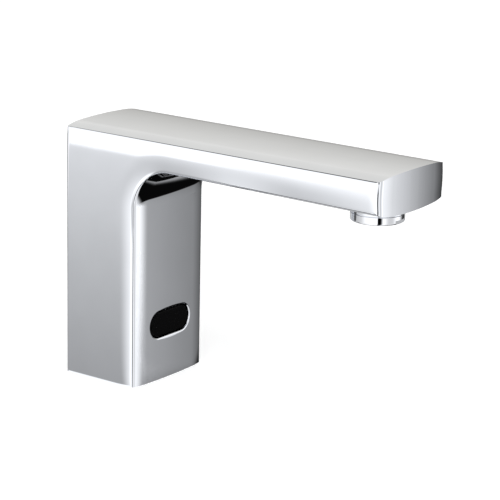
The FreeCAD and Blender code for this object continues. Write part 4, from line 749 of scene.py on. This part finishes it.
def card_material(name, strengths, fades, colour, across):
    """Light or dark card whose edges fade out.

    strengths run along the card's width if across is true, or else up its height. fades are
    the shares of the card over which its start, end, low and high edges fade.
    """
    material, nodes, links = new_material(name)
    output = nodes.new("ShaderNodeOutputMaterial")
    coordinates = nodes.new("ShaderNodeTexCoord")
    split = nodes.new("ShaderNodeSeparateXYZ")
    links.new(coordinates.outputs["UV"], split.inputs[0])
    width, height = split.outputs[0], split.outputs[1]
    start, end, low, high = fades
    cover = None
    for source, edge in ((width, (0.0, start)), (width, (1.0, 1.0 - end)),
                         (height, (0.0, low)), (height, (1.0, 1.0 - high))):
        ease = mapped(nodes, links, source, edge, interpolation="SMOOTHSTEP")
        if cover is None:
            cover = ease
        else:
            cover = computed(nodes, links, "MULTIPLY", cover, ease)
    level = mapped(nodes, links, width if across else height, (0.0, 1.0), strengths)
    clear = nodes.new("ShaderNodeBsdfTransparent")
    glow = nodes.new("ShaderNodeEmission")
    glow.inputs["Color"].default_value = opaque(colour)
    links.new(level, glow.inputs["Strength"])
    mix = nodes.new("ShaderNodeMixShader")
    links.new(cover, mix.inputs["Fac"])
    links.new(clear.outputs[0], mix.inputs[1])
    links.new(glow.outputs[0], mix.inputs[2])
    links.new(mix.outputs[0], output.inputs["Surface"])
    return material


def make_card(name, place, strengths, fades, colour=WHITE, across=False):
    """A card that only polished pieces see. place takes shares of its width and height."""
    maker = bmesh.new()
    uv_layer = maker.loops.layers.uv.new("card")
    points = [[maker.verts.new(place(column / CARD_STEPS, row / CARD_STEPS))
               for column in range(CARD_STEPS + 1)] for row in range(CARD_STEPS + 1)]
    for row in range(CARD_STEPS):
        for column in range(CARD_STEPS):
            corners = ((row, column), (row, column + 1), (row + 1, column + 1), (row + 1, column))
            face = maker.faces.new([points[r][c] for r, c in corners])
            for loop, (r, c) in zip(face.loops, corners):
                loop[uv_layer].uv = (c / CARD_STEPS, r / CARD_STEPS)
    card = new_object(name, made_mesh(name, maker))
    card.data.materials.append(card_material(name, strengths, fades, colour, across))
    card.visible_camera = False
    card.visible_diffuse = False
    card.visible_transmission = False
    card.visible_volume_scatter = False
    card.visible_shadow = False


def heading(azimuth, elevation=0.0):
    """A direction, its azimuth anticlockwise from +X and its elevation, both in degrees."""
    azimuth, elevation = math.radians(azimuth), math.radians(elevation)
    return Vector((math.cos(azimuth) * math.cos(elevation),
                   math.sin(azimuth) * math.cos(elevation), math.sin(elevation)))


def curved_card(name, azimuths, elevations, strengths, fades, layer, colour):
    """A card that curves round the tap."""
    radius = CARD_RADIUS - LAYER_GAP * layer

    def place(u, v):
        return CARD_CENTRE + heading(between(azimuths, u), between(elevations, v)) * radius

    make_card(name, place, strengths, fades, colour)


def standing_card(name, centre, azimuth, distance, sideways, heights, strengths, fades):
    """An upright card that faces centre from this azimuth and distance."""
    away = heading(azimuth)
    aside = Vector((-away.y, away.x, 0.0))

    def place(u, v):
        foot = Vector((centre[0], centre[1], between(heights, v)))
        return foot + away * distance + aside * between(sideways, u)

    make_card(name, place, strengths, fades, across=True)


def floor_shade_card(name, level, reaches, near_edge, far_edge, strengths, fades):
    """A flat card to the tap's left that the polished side mirrors in place of the ground, with
    painted shade of the floor near the tap.

    It runs away from the side over reaches, and along the side between the edges, which are
    (front, corner, back): the front half of its width lies between front and corner.
    """
    away = heading(SIDE_GLANCE)

    def place(u, v):
        front, corner, back = [between(ends, v) for ends in zip(near_edge, far_edge)]
        along = between((front, corner), 2 * u) if u < 0.5 else between((corner, back), 2 * u - 1)
        return Vector((-HALF_WIDTH * MM, along, level)) + away * between(reaches, v)

    make_card(name, place, strengths, fades)


def make_cards():
    for card in CURVED_CARDS:
        curved_card(*card)
    # painted shading of the ground that the front face mirrors: a card below the floor whose
    # strength falls from 0.83 to 0.12 across it
    standing_card("floor_shading_front", centre=(0.0, FRONT_CROWN * MM), azimuth=-36.0, distance=0.5,
                  sideways=(-0.31, 0.30), heights=(-0.175, -0.035), strengths=(0.83, 0.12),
                  fades=(0.35, 0.1, 0.12, 0.05))
    # painted shade of the floor under the tap, as the chrome mirrors it: darker next to the tap,
    # brighter away from it
    floor_shade_card("floor_shade_left", level=0.0005, reaches=(0.0, 0.62),
                near_edge=(-0.020, -0.013, 0.12), far_edge=(-0.210, -0.014, 0.12),
                strengths=(0.58, 1.42), fades=(0.5, 0.02, 0.001, 0.2))
    floor_shade_card("floor_shade_spout", level=0.060, reaches=(0.03, 0.62),
                near_edge=(-0.205, -0.110, -0.045), far_edge=(-0.205, -0.110, -0.045),
                strengths=(0.80, 2.4), fades=(0.55, 0.45, 0.02, 0.3))


def make_lamps():
    for name, place, size, power in LAMPS:
        data = bpy.data.lights.new(name, "AREA")
        data.shape = "SQUARE"
        data.size = size
        data.energy = power
        lamp = new_object(name, data)
        lamp.location = place
        aim = (CAMERA_TARGET - Vector(place)).normalized()
        lamp.rotation_euler = aim.to_track_quat("-Z", "Y").to_euler()
        lamp.visible_glossy = False


make_camera()
dress_nodes()
make_casting()
make_springs()
make_world()
make_floor()
make_cards()
make_lamps()
scene.view_settings.view_transform = "Standard"
